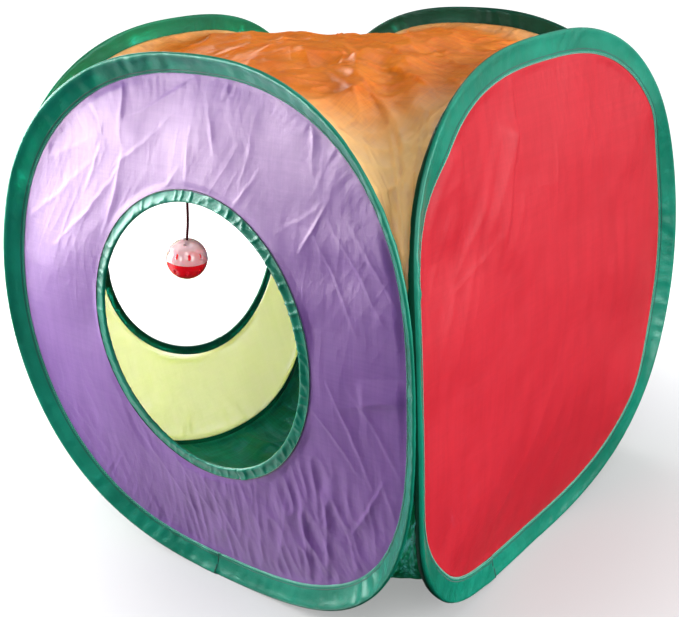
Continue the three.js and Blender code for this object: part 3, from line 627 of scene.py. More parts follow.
# The record's material slots of the six cloths
CLOTH_SLOTS = {"front": "cloth_lilac", "right": "cloth_red", "back": "cloth_blue",
               "left": "cloth_lime", "top": "cloth_orange", "floor": "cloth_green"}
CLOTHS = {
    "front": cloth_material("cloth_lilac", "#764e99", "#6d4691", ("X", "Z"), 0.45, 0.15, 0.0,
                            0.08, gloss=0.9, tint=(1, 0.81, 0.82, 1), folds=FRONT_FOLDS),
    "right": cloth_material("cloth_red", "#b71f2c", "#ad1a27", ("Y", "Z"), 0.5, 0.15, 0.0, 0.08,
                            gloss=0.3, folds=RIGHT_FOLDS),
    "back": cloth_material("cloth_blue", "#3564b4", "#2e5aaa", ("X", "Z"), 0.5, 0.2, 0.05, 0.1,
                           folds=FRONT_FOLDS),
    "left": cloth_material("cloth_lime", "#dafd84", "#d6fb7e", ("Y", "Z"), 0.6, 0.7, 0.0, 0.1,
                           gloss=0.2),
    # The top cloth gets painted glare, paler towards its corners
    "top": cloth_material("cloth_orange", "#ee801c", "#d8660e", ("X", "Y"), 0.42, 0.35, 0.0, 0.15,
                          (8.0, 8.0), gloss=0.25, folds=NET_FOLDS,
                          corner_glare=("#ffd08e", 0.175, 0.25)),
    "floor": cloth_material("cloth_green", "#1dbb80", "#149c64", ("X", "Y"), 0.45, 0.5, 0.0, 0.2,
                            (8.0, 8.0), gloss=0.2, folds=NET_FOLDS),
}


# The string and what hangs on it, made first
STRING_ACROSS = 5.1
STRING_CLEARANCE = 0.98
STRING_LENGTH = 29.4
STRING_SAG = 0.8
STRING_LEAN = math.radians(7.5)
STRING_RADIUS = 0.9
STRING_STEPS, STRING_SIDES = 120, 16
SAG_AT = ((0, 0), (0.25, 0.7), (0.55, 1), (0.9, 0), (1, 0))
SAG_SPREAD = 12
PLY_PITCH = 3.4
SEWN_IN = 0.9
INTO_KNOT = 0.4
KNOT_RADIUS = 2.6
BALL_RADIUS = 16
BALL_WALL = 1.3
POLE_HOLE_RADIUS = 2
KNOT_BELOW_SHELL = math.sqrt((KNOT_RADIUS + GAP) ** 2 - POLE_HOLE_RADIUS ** 2)


def string_top():
    hoop, entrance = HOOPS["front"], ENTRANCES["front"]
    across = STRING_ACROSS - hoop["plan"]["middle"]
    share = (across - entrance["across"]) / (entrance["half_width"] - entrance["width"])
    up = entrance["up"] + (entrance["half_height"] - entrance["width"]) * math.sqrt(1 - share ** 2)
    top = place(hoop, np.array([across]), np.array([up]), np.array([-hoop["inset"]]))[0]
    top[2] -= STRING_CLEARANCE
    return top


HANG_TOP = string_top()
HANG_DOWN = np.array([-math.sin(STRING_LEAN), 0, -math.cos(STRING_LEAN)])
HANG_SIDE = np.array([math.cos(STRING_LEAN), 0, -math.sin(STRING_LEAN)])
HANG_BACK = np.array([0.0, 1.0, 0.0])


def hang(down, side=0.0, back=0.0):
    return (HANG_TOP + np.multiply.outer(down, HANG_DOWN) + np.multiply.outer(side, HANG_SIDE)
            + np.multiply.outer(back, HANG_BACK))


def make_string():
    """A two-ply twisted cord down to the knot inside the ball."""
    length = STRING_LENGTH + GAP + INTO_KNOT
    share = np.linspace(0, 1, STRING_STEPS)
    sag = STRING_SAG * np.interp(share, *zip(*SAG_AT))
    sag = np.convolve(np.pad(sag, SAG_SPREAD, mode="edge"),
                      np.ones(2 * SAG_SPREAD + 1) / (2 * SAG_SPREAD + 1), "valid")
    spine = hang(share * (length + SEWN_IN) - SEWN_IN, sag)
    around = np.linspace(0, 2 * math.pi, STRING_SIDES, endpoint=False)
    twist = share[:, None] * length / PLY_PITCH * 2 * math.pi
    radius = STRING_RADIUS * (1.08 + 0.1 * np.abs(np.cos(around[None, :] - twist)))
    rings = round_sections(spine, unit(np.gradient(spine, axis=0)), HANG_BACK, radius[..., None],
                           STRING_SIDES)
    piece = turn_out(mesh_piece("hanging_string", rings.reshape(-1, 3),
                                capped(STRING_STEPS, STRING_SIDES), CORD))
    path = [tuple((p + CENTRING) * MM) for p in spine[::6]] + [tuple((spine[-1] + CENTRING) * MM)]
    return piece, path


def make_knot():
    """An overhand knot drawn tight: a thick trefoil of cord."""
    t = np.linspace(0, 2 * math.pi, 96, endpoint=False)
    centre = STRING_LENGTH + GAP + KNOT_RADIUS
    spine = hang(centre + 0.9 * np.cos(3 * t),
                 0.56 * (np.sin(t) + 1.8 * np.sin(2 * t)), 0.56 * (np.cos(t) - 1.8 * np.cos(2 * t)))
    tangent = unit(np.roll(spine, -1, 0) - np.roll(spine, 1, 0))
    rings = round_sections(spine, tangent, HANG_DOWN, 0.72, 12)
    return turn_out(mesh_piece("hanging_knot", *swept(rings), CORD))


string_piece, string_path = make_string()
knot_piece = make_knot()
for piece, cad_node in ((string_piece, "string"), (knot_piece, "string_knot")):
    join_part(piece, "string", "cord_maroon", cad_node)


# The lattice ball: two thin moulded halves with slots and vents, a lip at the seam and a hole at
# each pole
SLOT_COUNT = 9
SLOT_TURN = math.radians(3)
# Openings: azimuth, latitude, half width, half height
OPENINGS = [(SLOT_TURN + k * 2 * math.pi / SLOT_COUNT, math.radians(24), 1.25, 2.45)
            for k in range(SLOT_COUNT)]
OPENINGS += [(SLOT_TURN + (k + 0.5) * 2 * math.pi / 3, math.radians(62), 1.2, 1.2)
             for k in range(3)]
ROUNDNESS = 2.6
BALL_TURNS, BALL_RISES = 180, 54
# The grid is drawn onto an opening's outline within this share of its size
DRAWN_WITHIN, DRAWN_POWER = 0.3, 1.6
SEAM_LIP, SEAM_LIP_WIDTH = 0.25, 0.8
SHARP_EDGE = math.radians(40)
BALL_CENTRE_DROP = STRING_LENGTH + GAP + KNOT_RADIUS + BALL_RADIUS - BALL_WALL - KNOT_BELOW_SHELL


def from_opening(lat, az, opening):
    """Offsets from an opening's middle and its reach there: 1 on the outline."""
    middle, latitude, half_width, half_height = opening
    turn = np.mod(az - middle + math.pi, 2 * math.pi) - math.pi
    dx = turn * math.cos(latitude) * BALL_RADIUS / half_width
    dy = (lat - latitude) * BALL_RADIUS / half_height
    reach = (np.abs(dx) ** ROUNDNESS + np.abs(dy) ** ROUNDNESS) ** (1 / ROUNDNESS)
    return turn, lat - latitude, reach


def half_ball(name, upwards, material):
    """A bowl from a fine grid on the sphere whose cells inside a slot, a vent or the pole hole are
    left out, drawn onto the openings' outlines, then given its wall."""
    turns, rises = BALL_TURNS, BALL_RISES
    azimuth = np.linspace(0, 2 * math.pi, turns, endpoint=False)
    pole = math.asin(POLE_HOLE_RADIUS / BALL_RADIUS)
    lowest = math.asin((GAP / 2) / BALL_RADIUS)
    latitude = np.linspace(lowest, math.pi / 2 - pole, rises)
    lat, az = np.meshgrid(latitude, azimuth, indexing="ij")
    for opening in OPENINGS:
        turn, rise, reach = from_opening(lat, az, opening)
        off = np.abs(reach - 1) / DRAWN_WITHIN
        near = off < 1
        pull = 1 + np.sign(reach - 1) * off ** DRAWN_POWER * DRAWN_WITHIN
        factor = np.where(near, pull / np.maximum(reach, 1e-6), 1)
        az = az + turn * (factor - 1)
        lat = lat + rise * (factor - 1)
    keep = np.ones((rises - 1, turns), bool)
    around = np.concatenate([az, az[:, :1] + 2 * math.pi], axis=1)
    cell_az = (around[:-1, :-1] + around[:-1, 1:] + around[1:, :-1] + around[1:, 1:]) / 4
    cell_lat = (lat[:-1] + lat[1:]) / 2
    for opening in OPENINGS:
        keep &= from_opening(cell_lat, cell_az, opening)[2] > 1
    radius = BALL_RADIUS + SEAM_LIP * np.exp(-((lat - lowest) * BALL_RADIUS / SEAM_LIP_WIDTH) ** 2)
    sign = 1 if upwards else -1
    az = sign * az
    height = sign * np.sin(lat)
    side, back = np.cos(lat) * np.cos(az), np.cos(lat) * np.sin(az)
    outer = hang(BALL_CENTRE_DROP - height * radius, side * radius, back * radius)
    thin = BALL_RADIUS - BALL_WALL
    inner_height = np.maximum(np.sin(lat), (GAP / 2) / thin)
    inner = hang(BALL_CENTRE_DROP - sign * inner_height * thin, side * thin, back * thin)
    points = np.concatenate([outer.reshape(-1, 3), inner.reshape(-1, 3)])
    half = rises * turns
    j, i = np.nonzero(keep)
    a, b = j * turns + i, j * turns + (i + 1) % turns
    quads = np.stack([a, b, b + turns, a + turns], -1)
    faces = quads.tolist() + (quads[:, ::-1] + half).tolist()
    edges = {}
    for quad_row in quads.tolist():
        for k in range(4):
            start, end = quad_row[k], quad_row[(k + 1) % 4]
            if edges.pop((end, start), None) is None:
                edges[(start, end)] = True
    faces += [[end, start, start + half, end + half] for start, end in edges]
    piece = mesh_piece(name, points, faces, material)
    work = bmesh.new()
    work.from_mesh(piece.data)
    loose = [v for v in work.verts if not v.link_faces]
    bmesh.ops.delete(work, geom=loose, context="VERTS")
    bmesh.ops.recalc_face_normals(work, faces=work.faces)
    for edge in work.edges:
        edge.smooth = edge.calc_face_angle(0) < SHARP_EDGE
    work.to_mesh(piece.data)
    work.free()
    return piece


for piece_name, cad_node, upwards, material, slot in (
        ("lattice_upper", "ball_upper", True, PINK, "plastic_pink"),
        ("lattice_lower", "ball_lower", False, RED, "plastic_red")):
    piece = half_ball(piece_name, upwards, material)
    join_part(piece, "ball", slot, cad_node)


# Sleeves round the hoops
SLEEVE_STATIONS = 520
SLEEVE_SHARES = np.array([0.0, 0.02, 0.06, 0.12, 0.2, 0.3, 0.42, 0.56, 0.7, 0.82, 0.91, 0.965,
                          0.99, 1.0])


def sleeve_half(share):
    """Half thickness of the sleeve: full over the wire, thin at the sewn hem."""
    body = 0.85 + 0.8 * np.exp(-((share - 0.13) / 0.17) ** 2)
    ends = np.sqrt(np.clip(1 - ((0.07 - share) / 0.07).clip(0) ** 2, 0, 1))
    ends = ends * (1 - 0.35 * (share > 0.985))
    return body * ends + 0.12


SLEEVE_JOINS = {"front": (-4, -1), "right": (-70, -1), "back": (60, 1), "left": (30, -1)}


def sleeve_relief(name, data, share, side):
    """Soft dents and puckers of the sleeve, across its width and along it."""
    arc = data["arc"][:, None]
    seed = SEEDS[name] + (100 if side > 0 else 200)
    soft = 0.35 * Waves(seed, 60, 200, 20)(arc, share * 20)
    pucker = 0.28 * stretched(Waves(seed + 1, 8, 26), arc, share * SLEEVE_WIDTH, 62, 2.5)
    near_hem = np.exp(-(1 - share) / 0.3)
    fan = 0.3 * Waves(seed + 2, 5, 13, 30)(arc + 4 * share) * near_hem
    even = (1 - 0.85 * smooth(share, 0.65, 0.95)) * np.minimum(1, 6 * share) * (share < 0.999)
    return (soft + pucker * (0.35 + 0.65 * np.abs(Waves(seed + 3, 120, 300, 12)(arc))) + fan) * even


def join_height(name, data, share):
    """Where the binding's two ends overlap, low on the panel: one end lies over the other."""
    across, way = SLEEVE_JOINS[name]
    foot = data["up"] < 0
    distance = np.where(foot, (data["across"] - across) * way, -999)[:, None]
    distance = distance + 3 * np.sin(7 * share)
    lap = smooth(distance, 0, 1.6) * (1 - smooth(distance, 12, 26))
    dip = np.exp(-(distance / 1.6) ** 2) * 0.6
    return 0.9 * lap - dip


def corner_roll(hoop, data, shares):
    """The right sleeve is rolled thick round its wire where it leans on the front one."""
    near = smooth(-data["across"] / hoop["plan"]["half_width"], 0.55, 0.9)
    return near[:, None] * 3.2 * np.exp(-((shares - 0.1) / 0.1) ** 2)[None, :]


def make_sleeve(name):
    hoop = HOOPS[name]
    data = sleeve_frames(hoop, SLEEVE_STATIONS)
    rows = []
    for side, shares in ((1, SLEEVE_SHARES), (-1, SLEEVE_SHARES[::-1])):
        half = sleeve_half(shares)[None, :] + np.zeros((SLEEVE_STATIONS, 1))
        if side > 0 and name == "right":
            half = half + corner_roll(hoop, data, shares)
        relief = sleeve_relief(name, data, shares[None, :], side)
        extra = join_height(name, data, shares[None, :]) if side < 0 else 0
        height = side * (half + (relief + extra) * np.minimum(1, half))
        rows.append(data["wire"][:, None] + data["inner"][:, None] * height[..., None]
                    + data["hem_way"][:, None] * (shares * SLEEVE_REACH)[None, :, None])
    sections = np.concatenate([rows[0], rows[1][:, 1:-1]], axis=1)
    sections[..., 2] = np.maximum(sections[..., 2], 0)
    points, faces = swept(sections)
    # The back and left sleeves take the darker satin copy: painted shade
    piece = turn_out(mesh_piece("sleeve_" + name, points, faces,
                                SATIN if name in ("front", "right") else SATIN_SHADED_COPY))
    if name in ("back", "right"):
        # The inner side of these two is seen; a much darker satin on it is painted shade, as it lies
        # in the dark
        piece.data.materials.append(SATIN_PAINTED_SHADE)
        column = np.tile(np.arange(sections.shape[1]), len(sections))
        inner = (column < len(SLEEVE_SHARES) - 1).astype(np.int32)
        piece.data.polygons.foreach_set("material_index", inner)
    join_part(piece, "cube", "sleeve_green", "hoop_" + name)


# Side panels
PANEL_STATIONS = {"front": 960, "right": 840, "back": 480, "left": 480}
PANEL_LOOPS = {"front": 82, "right": 96, "back": 55, "left": 43}
INNER_STEP = 3
PANEL_HALF = 0.3
TUCK = 1.2
HEM_TUCK = 0.5
LIP = 0.4
# Where the cloth is held, its relief fades out over these widths to this share
HEM_CALM, ENTRANCE_CALM = 8, 7
HELD_RELIEF = 0.06
# The front sheet bows more evenly towards its right hem
EVEN_BOW = 0.9


def make_panel(name):
    hoop = HOOPS[name]
    plan = hoop["plan"]
    count, loops = PANEL_STATIONS[name], PANEL_LOOPS[name]
    data = sleeve_frames(hoop, count)
    hems = data["wire"] + data["hem_way"] * (SLEEVE_REACH - HEM_TUCK)
    hem_across, hem_up = across_of(hoop, hems), up_of(hoop, hems)
    hem_lift = hems @ plan["out"] - place(hoop, hem_across, hem_up, np.zeros(count)) @ plan["out"]
    entrance = ENTRANCES.get(name)
    if entrance:
        angle = np.arctan2(hem_up - entrance["up"], hem_across - entrance["across"])
        start_across = entrance["across"] + (entrance["half_width"] - TUCK) * np.cos(angle)
        start_up = entrance["up"] + (entrance["half_height"] - TUCK) * np.sin(angle)
        shares = np.linspace(0, 1, loops)
    else:
        start_across, start_up = np.zeros(count), np.zeros(count)
        shares = np.linspace(0, 1, loops + 1)[1:]
    t = shares[:, None]
    across = start_across + (hem_across - start_across) * t
    up = start_up + (hem_up - start_up) * t
    even = EVEN_BOW if name == "front" else 0
    bow = 2 - even * smooth(hem_across / plan["half_width"], 0.3, 0.9)
    lift = -hoop["inset"] + (hem_lift + hoop["inset"]) * t ** bow
    span = np.hypot(hem_across - start_across, hem_up - start_up)
    from_hem = span * (1 - t)
    relief = panel_relief(name, across, up, data["arc"][None, :], from_hem, data["total"])
    calm = smooth(from_hem, LIP, LIP + HEM_CALM)
    if entrance:
        calm = calm * smooth(span * t, TUCK, TUCK + ENTRANCE_CALM)
    middle = place(hoop, across, up, lift + relief * (HELD_RELIEF + (1 - HELD_RELIEF) * calm))
    outer = middle + plan["out"] * PANEL_HALF
    rows = len(shares)
    kept = np.unique(np.r_[0, np.arange(rows - 1, 0, -INNER_STEP)])
    inner = (middle - plan["out"] * PANEL_HALF)[kept][:, ::INNER_STEP]
    inner_rows, inner_count = inner.shape[:2]
    points = [outer.reshape(-1, 3), inner.reshape(-1, 3)]
    half = rows * count
    faces = ring_quads(rows, count) + ring_quads(inner_rows, inner_count, half, flip=True)
    faces += rim_strip((rows - 1) * count, count, half + (inner_rows - 1) * inner_count, False)
    if entrance:
        faces += rim_strip(0, count, half, True)
    else:
        zero = np.zeros((1, 1))
        hub_relief = panel_relief(name, zero, zero, zero, zero + 200, data["total"])[0]
        centre = place(hoop, zero[0], zero[0], hub_relief - hoop["inset"])[0]
        hub = half + inner_rows * inner_count
        points += [np.array([centre + plan["out"] * PANEL_HALF, centre - plan["out"] * PANEL_HALF])]
        faces += [[hub, i, (i + 1) % count] for i in range(count)]
        faces += [[hub + 1, half + (i + 1) % inner_count, half + i] for i in range(inner_count)]
    piece = turn_out(mesh_piece("panel_" + name, np.concatenate(points), faces, CLOTHS[name]))
    join_part(piece, "cube", CLOTH_SLOTS[name], "cloth_" + name)
    area = 0.5 * abs(np.sum(hem_across * np.roll(hem_up, -1) - np.roll(hem_across, -1) * hem_up))
    if entrance:
        area -= math.pi * entrance["half_width"] * entrance["half_height"]


# Bindings of the entrances
RING_STATIONS = 640
RING_RADIUS = 118
RING_SHARES = np.array([0.0, 0.02, 0.1, 0.25, 0.42, 0.58, 0.72, 0.84, 0.93, 0.98, 1.0])


def ring_half(share):
    body = 0.75 + 0.95 * np.exp(-((share - 0.78) / 0.26) ** 2)
    return body * np.sqrt(np.clip(1 - ((share - 0.9) / 0.1).clip(0) ** 2, 0.02, 1))


def ring_point(name, angle, share, height):
    hoop, entrance = HOOPS[name], ENTRANCES[name]
    inset = share * entrance["width"]
    across = entrance["across"] + (entrance["half_width"] - inset) * np.cos(angle)
    up = entrance["up"] + (entrance["half_height"] - inset) * np.sin(angle)
    return place(hoop, across, up, height - hoop["inset"])


def ring_relief(name, angle, share, side):
    seed = SEEDS[name] + 300 + side
    around = angle * RING_RADIUS
    slanted = stretched(Waves(seed, 9, 24, 36), around, share * 10, 52, 2.4)
    where = 0.45 + 0.55 * smooth(np.cos(angle - math.radians(50)), 0.1, 0.9)
    return ((1.9 * ridges(slanted, 2.6) - 0.85) * where
            + 0.15 * Waves(seed + 1, 60, 150, 14)(around)) * np.sin(
        math.pi * np.clip(share, 0.02, 1)) ** 0.5


RING_JOINS = {"front": math.radians(-73), "left": math.radians(-95)}


def make_ring(name):
    angle = np.linspace(0, 2 * math.pi, RING_STATIONS, endpoint=False)[:, None]
    rows = []
    for side, shares in ((1, RING_SHARES), (-1, RING_SHARES[::-1])):
        share = np.broadcast_to(shares[None, :], (RING_STATIONS, len(shares)))
        spread = np.broadcast_to(angle, share.shape)
        half = ring_half(share) + ring_relief(name, spread, share, side)
        if side > 0:
            apart = ((spread - RING_JOINS[name] + math.pi) % (2 * math.pi) - math.pi) * RING_RADIUS
            lap = smooth(apart, 0, 1.5) * (1 - smooth(apart, 6, 14))
            half = half + 0.8 * lap - 0.6 * np.exp(-(apart / 1.3) ** 2)
        rows.append(ring_point(name, spread, share, side * np.maximum(half, 0.2)))
    sections = np.concatenate([rows[0], rows[1][:, 1:-1]], axis=1)
    points, faces = swept(sections)
    # The left binding takes the darker satin copy: painted shade
    piece = turn_out(mesh_piece("binding_" + name, points, faces,
                                SATIN if name == "front" else SATIN_SHADED_COPY))
    join_part(piece, "cube", "sleeve_green", "ring_" + name)


# Top and floor cloth: a net hung from the hems of the four heads or feet
NET_CELLS = {"head": 256, "foot": 128}
UNDER_STEP = 4
CALM_EDGE = 0.15
NET_HALF = 0.3
LOWEST = 0.9
UPPER_LOWEST = 0.5
UNDER_LOWEST = 0.05
TOP_FOLDS = [
    (-30, -60, 110, -70, 15, 6), (20, -120, 90, -10, 14, -6), (120, -150, 70, -60, 13, 6),
    (160, -120, 60, 10, 16, 5), (-150, -90, -40, -30, 18, 4), (-160, 20, -115, 75, 36, 7),
    (-90, 130, 0, 60, 20, 1), (40, 150, 110, 40, 18, -5), (20, 30, 150, 60, 15, 5),
]
FLOOR_FOLDS = [
    (-160, -120, -80, -60, 16, 6), (-170, 90, -70, 130, 18, 7), (60, -160, 110, -60, 16, 6),
    (130, 60, 60, 150, 18, 6), (-160, 10, -100, -20, 14, 5),
]
TOP_CREASES = [
    (70, -94, 115, -86, 6, 2.6), (115, -86, 170, -108, 6, 2.8), (40, -92, 139, -158, 5, 2.4),
    (65, -96, 172, -158, 5, 2.4), (183, -110, 174, -158, 6, 2.4), (173, -160, 194, -190, 5, 2.0),
    (-11, 3, 88, -99, 7, 2.4), (-86, 41, 25, -33, 7, 2.2), (130, -127, 166, -152, 5, 2.2),
    (143, -68, 187, -94, 6, 2.0), (121, -63, 97, 35, 7, 2.0), (148, -171, 188, -192, 5, 1.8),
    (178, -131, 197, -184, 5, 1.8), (15, 15, 116, -56, 6, 2.4), (-99, -61, -84, 39, 8, 2.0),
    (-150, -60, -60, -90, 7, 2.0), (-40, 90, 60, 60, 8, 2.0), (60, 120, 150, 90, 7, 1.8),
    (-170, 120, -100, 90, 7, 1.8), (-120, -140, -60, -40, 7, 1.8),
]
FLOOR_CREASES = [
    (-150, -120, -60, -90, 7, 2.2), (-140, 60, -30, 100, 8, 2.4), (-170, -20, -60, 20, 7, 2.0),
    (40, -140, 120, -80, 7, 2.2), (120, 40, 60, 130, 8, 2.0), (-60, 150, 40, 110, 7, 2.0),
    (150, -170, 190, -150, 5, 2.2), (140, -140, 180, -180, 5, 1.8),
]


def fold_height(rows, x, y):
    total = np.zeros_like(x)
    for x0, y0, x1, y1, width, height in rows:
        dx, dy = x1 - x0, y1 - y0
        along = np.clip(((x - x0) * dx + (y - y0) * dy) / (dx * dx + dy * dy), 0, 1)
        away = np.hypot(x - x0 - along * dx, y - y0 - along * dy)
        total += height * np.exp(-(away / width) ** 2)
    return total


def parting_heights():
    """Heights at each post where the top and the floor cloth end, shared by its two hoops."""
    heights = {}
    for hoop in HOOPS.values():
        for post, side in ((hoop["start"], "left"), (hoop["end"], "right")):
            for part in ("head", "foot"):
                fullness = hoop[part + "_" + side]
                sine = math.sqrt(1 - (1 - CONTACT_RECESSION) ** fullness)
                here = sine ** (2 / fullness) * hoop["height"] / 2
                heights[post, part] = heights.get((post, part), 0) + here / 2
    return heights


PARTING = parting_heights()


FAR = 1e4


def seam_line(name, part, cells):
    """Seam of the top or the floor cloth along one hoop, from its left end to its right end."""
    hoop = HOOPS[name]
    data = sleeve_frames(hoop, 1440)
    seam = (data["wire"] + data["hem_way"] * (SLEEVE_WIDTH - SEAM_FROM_HEM)
            + data["inner"] * SEAM_DEPTH)
    sign = 1 if part == "head" else -1
    up = data["up"] * sign
    across = data["across"]
    start, end = PARTING[hoop["start"], part], PARTING[hoop["end"], part]
    keep = ((across < 0) & (up >= start)) | ((across >= 0) & (up >= end))
    # Up the left side, then down the right side
    order = np.where(across[keep] < 0, up[keep] - FAR, FAR - up[keep])
    line = seam[keep][np.argsort(order, kind="stable")]
    length = np.r_[0, np.cumsum(np.linalg.norm(np.diff(line, axis=0), axis=1))]
    wanted = np.linspace(0, length[-1], cells + 1)
    return np.stack([np.interp(wanted, length, line[:, k]) for k in range(3)], -1)


def relax(net, rounds, pull, lowest):
    for _ in range(rounds):
        inside = 0.25 * (net[:-2, 1:-1] + net[2:, 1:-1] + net[1:-1, :-2] + net[1:-1, 2:])
        inside[..., 2] = np.maximum(lowest, inside[..., 2] + pull)
        net[1:-1, 1:-1] = inside
    return net


def hung_net(part, bias, lowest):
    edges, finest = {}, NET_CELLS[part]
    for name in HOOPS:
        line = seam_line(name, part, finest)
        # A net edge runs towards +X or +Y; seen from outside the front and right hoops do too
        edges[name] = line if name in ("front", "right") else line[::-1]
    net = np.zeros((finest + 1, finest + 1, 3))
    net[:, 0], net[:, -1] = edges["front"], edges["back"]
    net[0, :], net[-1, :] = edges["left"], edges["right"]
    for i, j, one, other in ((0, 0, edges["front"][0], edges["left"][0]),
                             (-1, 0, edges["front"][-1], edges["right"][0]),
                             (-1, -1, edges["back"][-1], edges["right"][-1]),
                             (0, -1, edges["back"][0], edges["left"][-1])):
        net[i, j] = (one + other) / 2
    cells = 8
    while cells < finest:
        step = finest // cells
        coarse = net[::step, ::step].copy()
        if cells == 8:
            share = np.linspace(0, 1, cells + 1)[None, 1:-1, None]
            coarse[1:-1, 1:-1] = (coarse[1:-1, :1] * (1 - share) + coarse[1:-1, -1:] * share)
        coarse = relax(coarse, 400, bias / cells ** 2, lowest)
        finer = step // 2
        rows = np.linspace(0, cells, 2 * cells + 1)
        low = np.minimum(np.floor(rows).astype(int), cells - 1)
        part_way = (rows - low)[:, None, None]
        tall = coarse[low] * (1 - part_way) + coarse[low + 1] * part_way
        part_way = (rows - low)[None, :, None]
        wide = tall[:, low] * (1 - part_way) + tall[:, low + 1] * part_way
        inner = wide[1:-1, 1:-1]
        net[finer:-finer:finer, finer:-finer:finer] = inner
        cells *= 2
    return relax(net, 250, bias / finest ** 2, lowest)


def net_relief(name, x, y, edge):
    seed = SEEDS[name]
    rows, folds = ((TOP_CREASES, TOP_FOLDS) if name == "top" else (FLOOR_CREASES, FLOOR_FOLDS))
    relief = fold_height(folds, x, y) * smooth(edge, 0, CALM_EDGE)
    calm = smooth(edge, 0, 0.03)
    relief = relief + 2 * calm * creases(rows, x, y)
    radius = np.hypot(np.abs(x) - 215, np.abs(y) - 215)
    bearing = np.arctan2(215 - np.abs(y), 215 - np.abs(x))
    near = np.exp(-(radius / 85) ** 2)
    fan = Waves(seed + 3, 0.16, 0.6, 26)(bearing + 0.7 * np.sign(x) + 0.3 * np.sign(y), 0)
    relief = relief + near * 2.6 * (ridges(fan, 1.8) - 0.4) * np.minimum(1, radius / 45) * calm
    way = -38 if name == "top" else 20
    noise = stretched(Waves(seed + 4, 40, 110), x, y, way, 2.2)
    second = stretched(Waves(seed + 5, 22, 60), x, y, way + 70, 1.7)
    patches = smooth(Waves(seed + 7, 40, 110)(x, y), -0.3, 0.8)
    relief = relief + calm * (1.2 * patches * ridges(noise, 7) - 1.5 * np.abs(noise)
                              + 0.6 * patches * ridges(second, 6) - 0.7 * np.abs(second))
    gather = Waves(seed + 6, 9, 26, 34)
    along = np.where(np.abs(x) > np.abs(y), y, x)
    relief = relief + 0.7 * gather(along * 1.4) * np.exp(-edge / 0.05) * smooth(edge, -0.002, 0.012)
    return relief


def make_net(name, part, bias):
    net = hung_net(part, bias, LOWEST)
    n = NET_CELLS[part]
    index = np.arange(n + 1)
    side = np.minimum(index, n - index) / n
    edge = np.minimum(side[:, None], side[None, :])
    normal = unit(np.cross(np.gradient(net, axis=0), np.gradient(net, axis=1)))
    relief = net_relief(name, net[..., 0], net[..., 1], edge)
    net = net + normal * relief[..., None]
    net[..., 2] = np.maximum(net[..., 2], LOWEST)
    normal = unit(np.cross(np.gradient(net, axis=0), np.gradient(net, axis=1)))
    upper = net + normal * NET_HALF
    under = (net - normal * NET_HALF)[::UNDER_STEP, ::UNDER_STEP]
    under[..., 2] = np.maximum(under[..., 2], UNDER_LOWEST)
    upper[..., 2] = np.maximum(upper[..., 2], UPPER_LOWEST)
    half, few = (n + 1) ** 2, n // UNDER_STEP
    faces = grid_quads(n + 1, n + 1) + grid_quads(few + 1, few + 1, half, flip=True)
    def rim_of(size, start):
        rim = ([(0, k) for k in range(size)] + [(k, size) for k in range(size)]
               + [(size, size - k) for k in range(size)] + [(size - k, 0) for k in range(size)])
        return [start + j * (size + 1) + i for j, i in rim]
    fine, coarse = rim_of(n, 0), rim_of(few, half)
    for k in range(len(coarse)):
        row = [fine[(UNDER_STEP * k + m) % len(fine)] for m in range(UNDER_STEP + 1)]
        faces.append(row[::-1] + [coarse[k], coarse[(k + 1) % len(coarse)]])
    points = np.concatenate([upper.reshape(-1, 3), under.reshape(-1, 3)])
    piece = turn_out(mesh_piece("panel_" + name, points, faces, CLOTHS[name]))
    join_part(piece, "cube", CLOTH_SLOTS[name], "cloth_" + name)


# Stitches along the hems
THREAD_SIDES = 4


def thread_tube(name, spine, radius, material, closed=True):
    tangent = unit(np.roll(spine, -1, 0) - np.roll(spine, 1, 0))
    aside = np.where(np.abs(tangent[:, 2:]) < 0.9, [[0, 0, 1.0]], [[1.0, 0, 0]])
    rings = round_sections(spine, tangent, aside, radius, THREAD_SIDES)
    faces = swept(rings)[1] if closed else capped(len(spine), THREAD_SIDES)
    return turn_out(mesh_piece(name, rings.reshape(-1, 3), faces, material))


STITCH_PITCH = 2.8
STITCH_RADIUS = 0.26
SEAM_SHARE = 0.84


def on_sleeve(name, share, count, above):
    """Points on a sleeve's outer face at one share of its width for each station."""
    hoop = HOOPS[name]
    data = sleeve_frames(hoop, count)
    share = np.broadcast_to(share, count)
    half = sleeve_half(share)
    height = half + along_relief(name, data, share) * np.minimum(1, half) + above
    return (data["wire"] + data["hem_way"] * (share * SLEEVE_REACH)[:, None]
            - data["inner"] * height[:, None])


def along_relief(name, data, share):
    column = {"arc": data["arc"]}
    total = np.zeros(len(share))
    for value in np.unique(share):
        here = share == value
        total[here] = sleeve_relief(name, column, np.full((1, 1), value), -1)[here, 0]
        total[here] += join_height(name, data, np.full((1, 1), value))[here, 0]
    return total


def hem_stitches(name):
    length = sleeve_frames(HOOPS[name], 64)["total"]
    count = int(length / STITCH_PITCH) * 2
    zigzag = on_sleeve(name, np.where(np.arange(count) % 2 == 0, 0.93, 0.985), count, 0.1)
    seam = on_sleeve(name, SEAM_SHARE, SLEEVE_STATIONS, -0.02)
    # A pale tube along the hem edge: painted highlight
    edge = on_sleeve(name, 1.0, SLEEVE_STATIONS, -0.15)
    for kind, spine, radius, material in (("hem_stitches_", zigzag, STITCH_RADIUS, PALE_THREAD_AND_HIGHLIGHT),
                                          ("hem_edge_painted_highlight_", edge, 0.34, PALE_THREAD_AND_HIGHLIGHT),
                                          ("seam_line_", seam, 0.34, DARK_THREAD_AND_SHADOW)):
        piece = thread_tube(kind + name, spine, radius, material)
        join_part(piece, "cube", "sleeve_green")


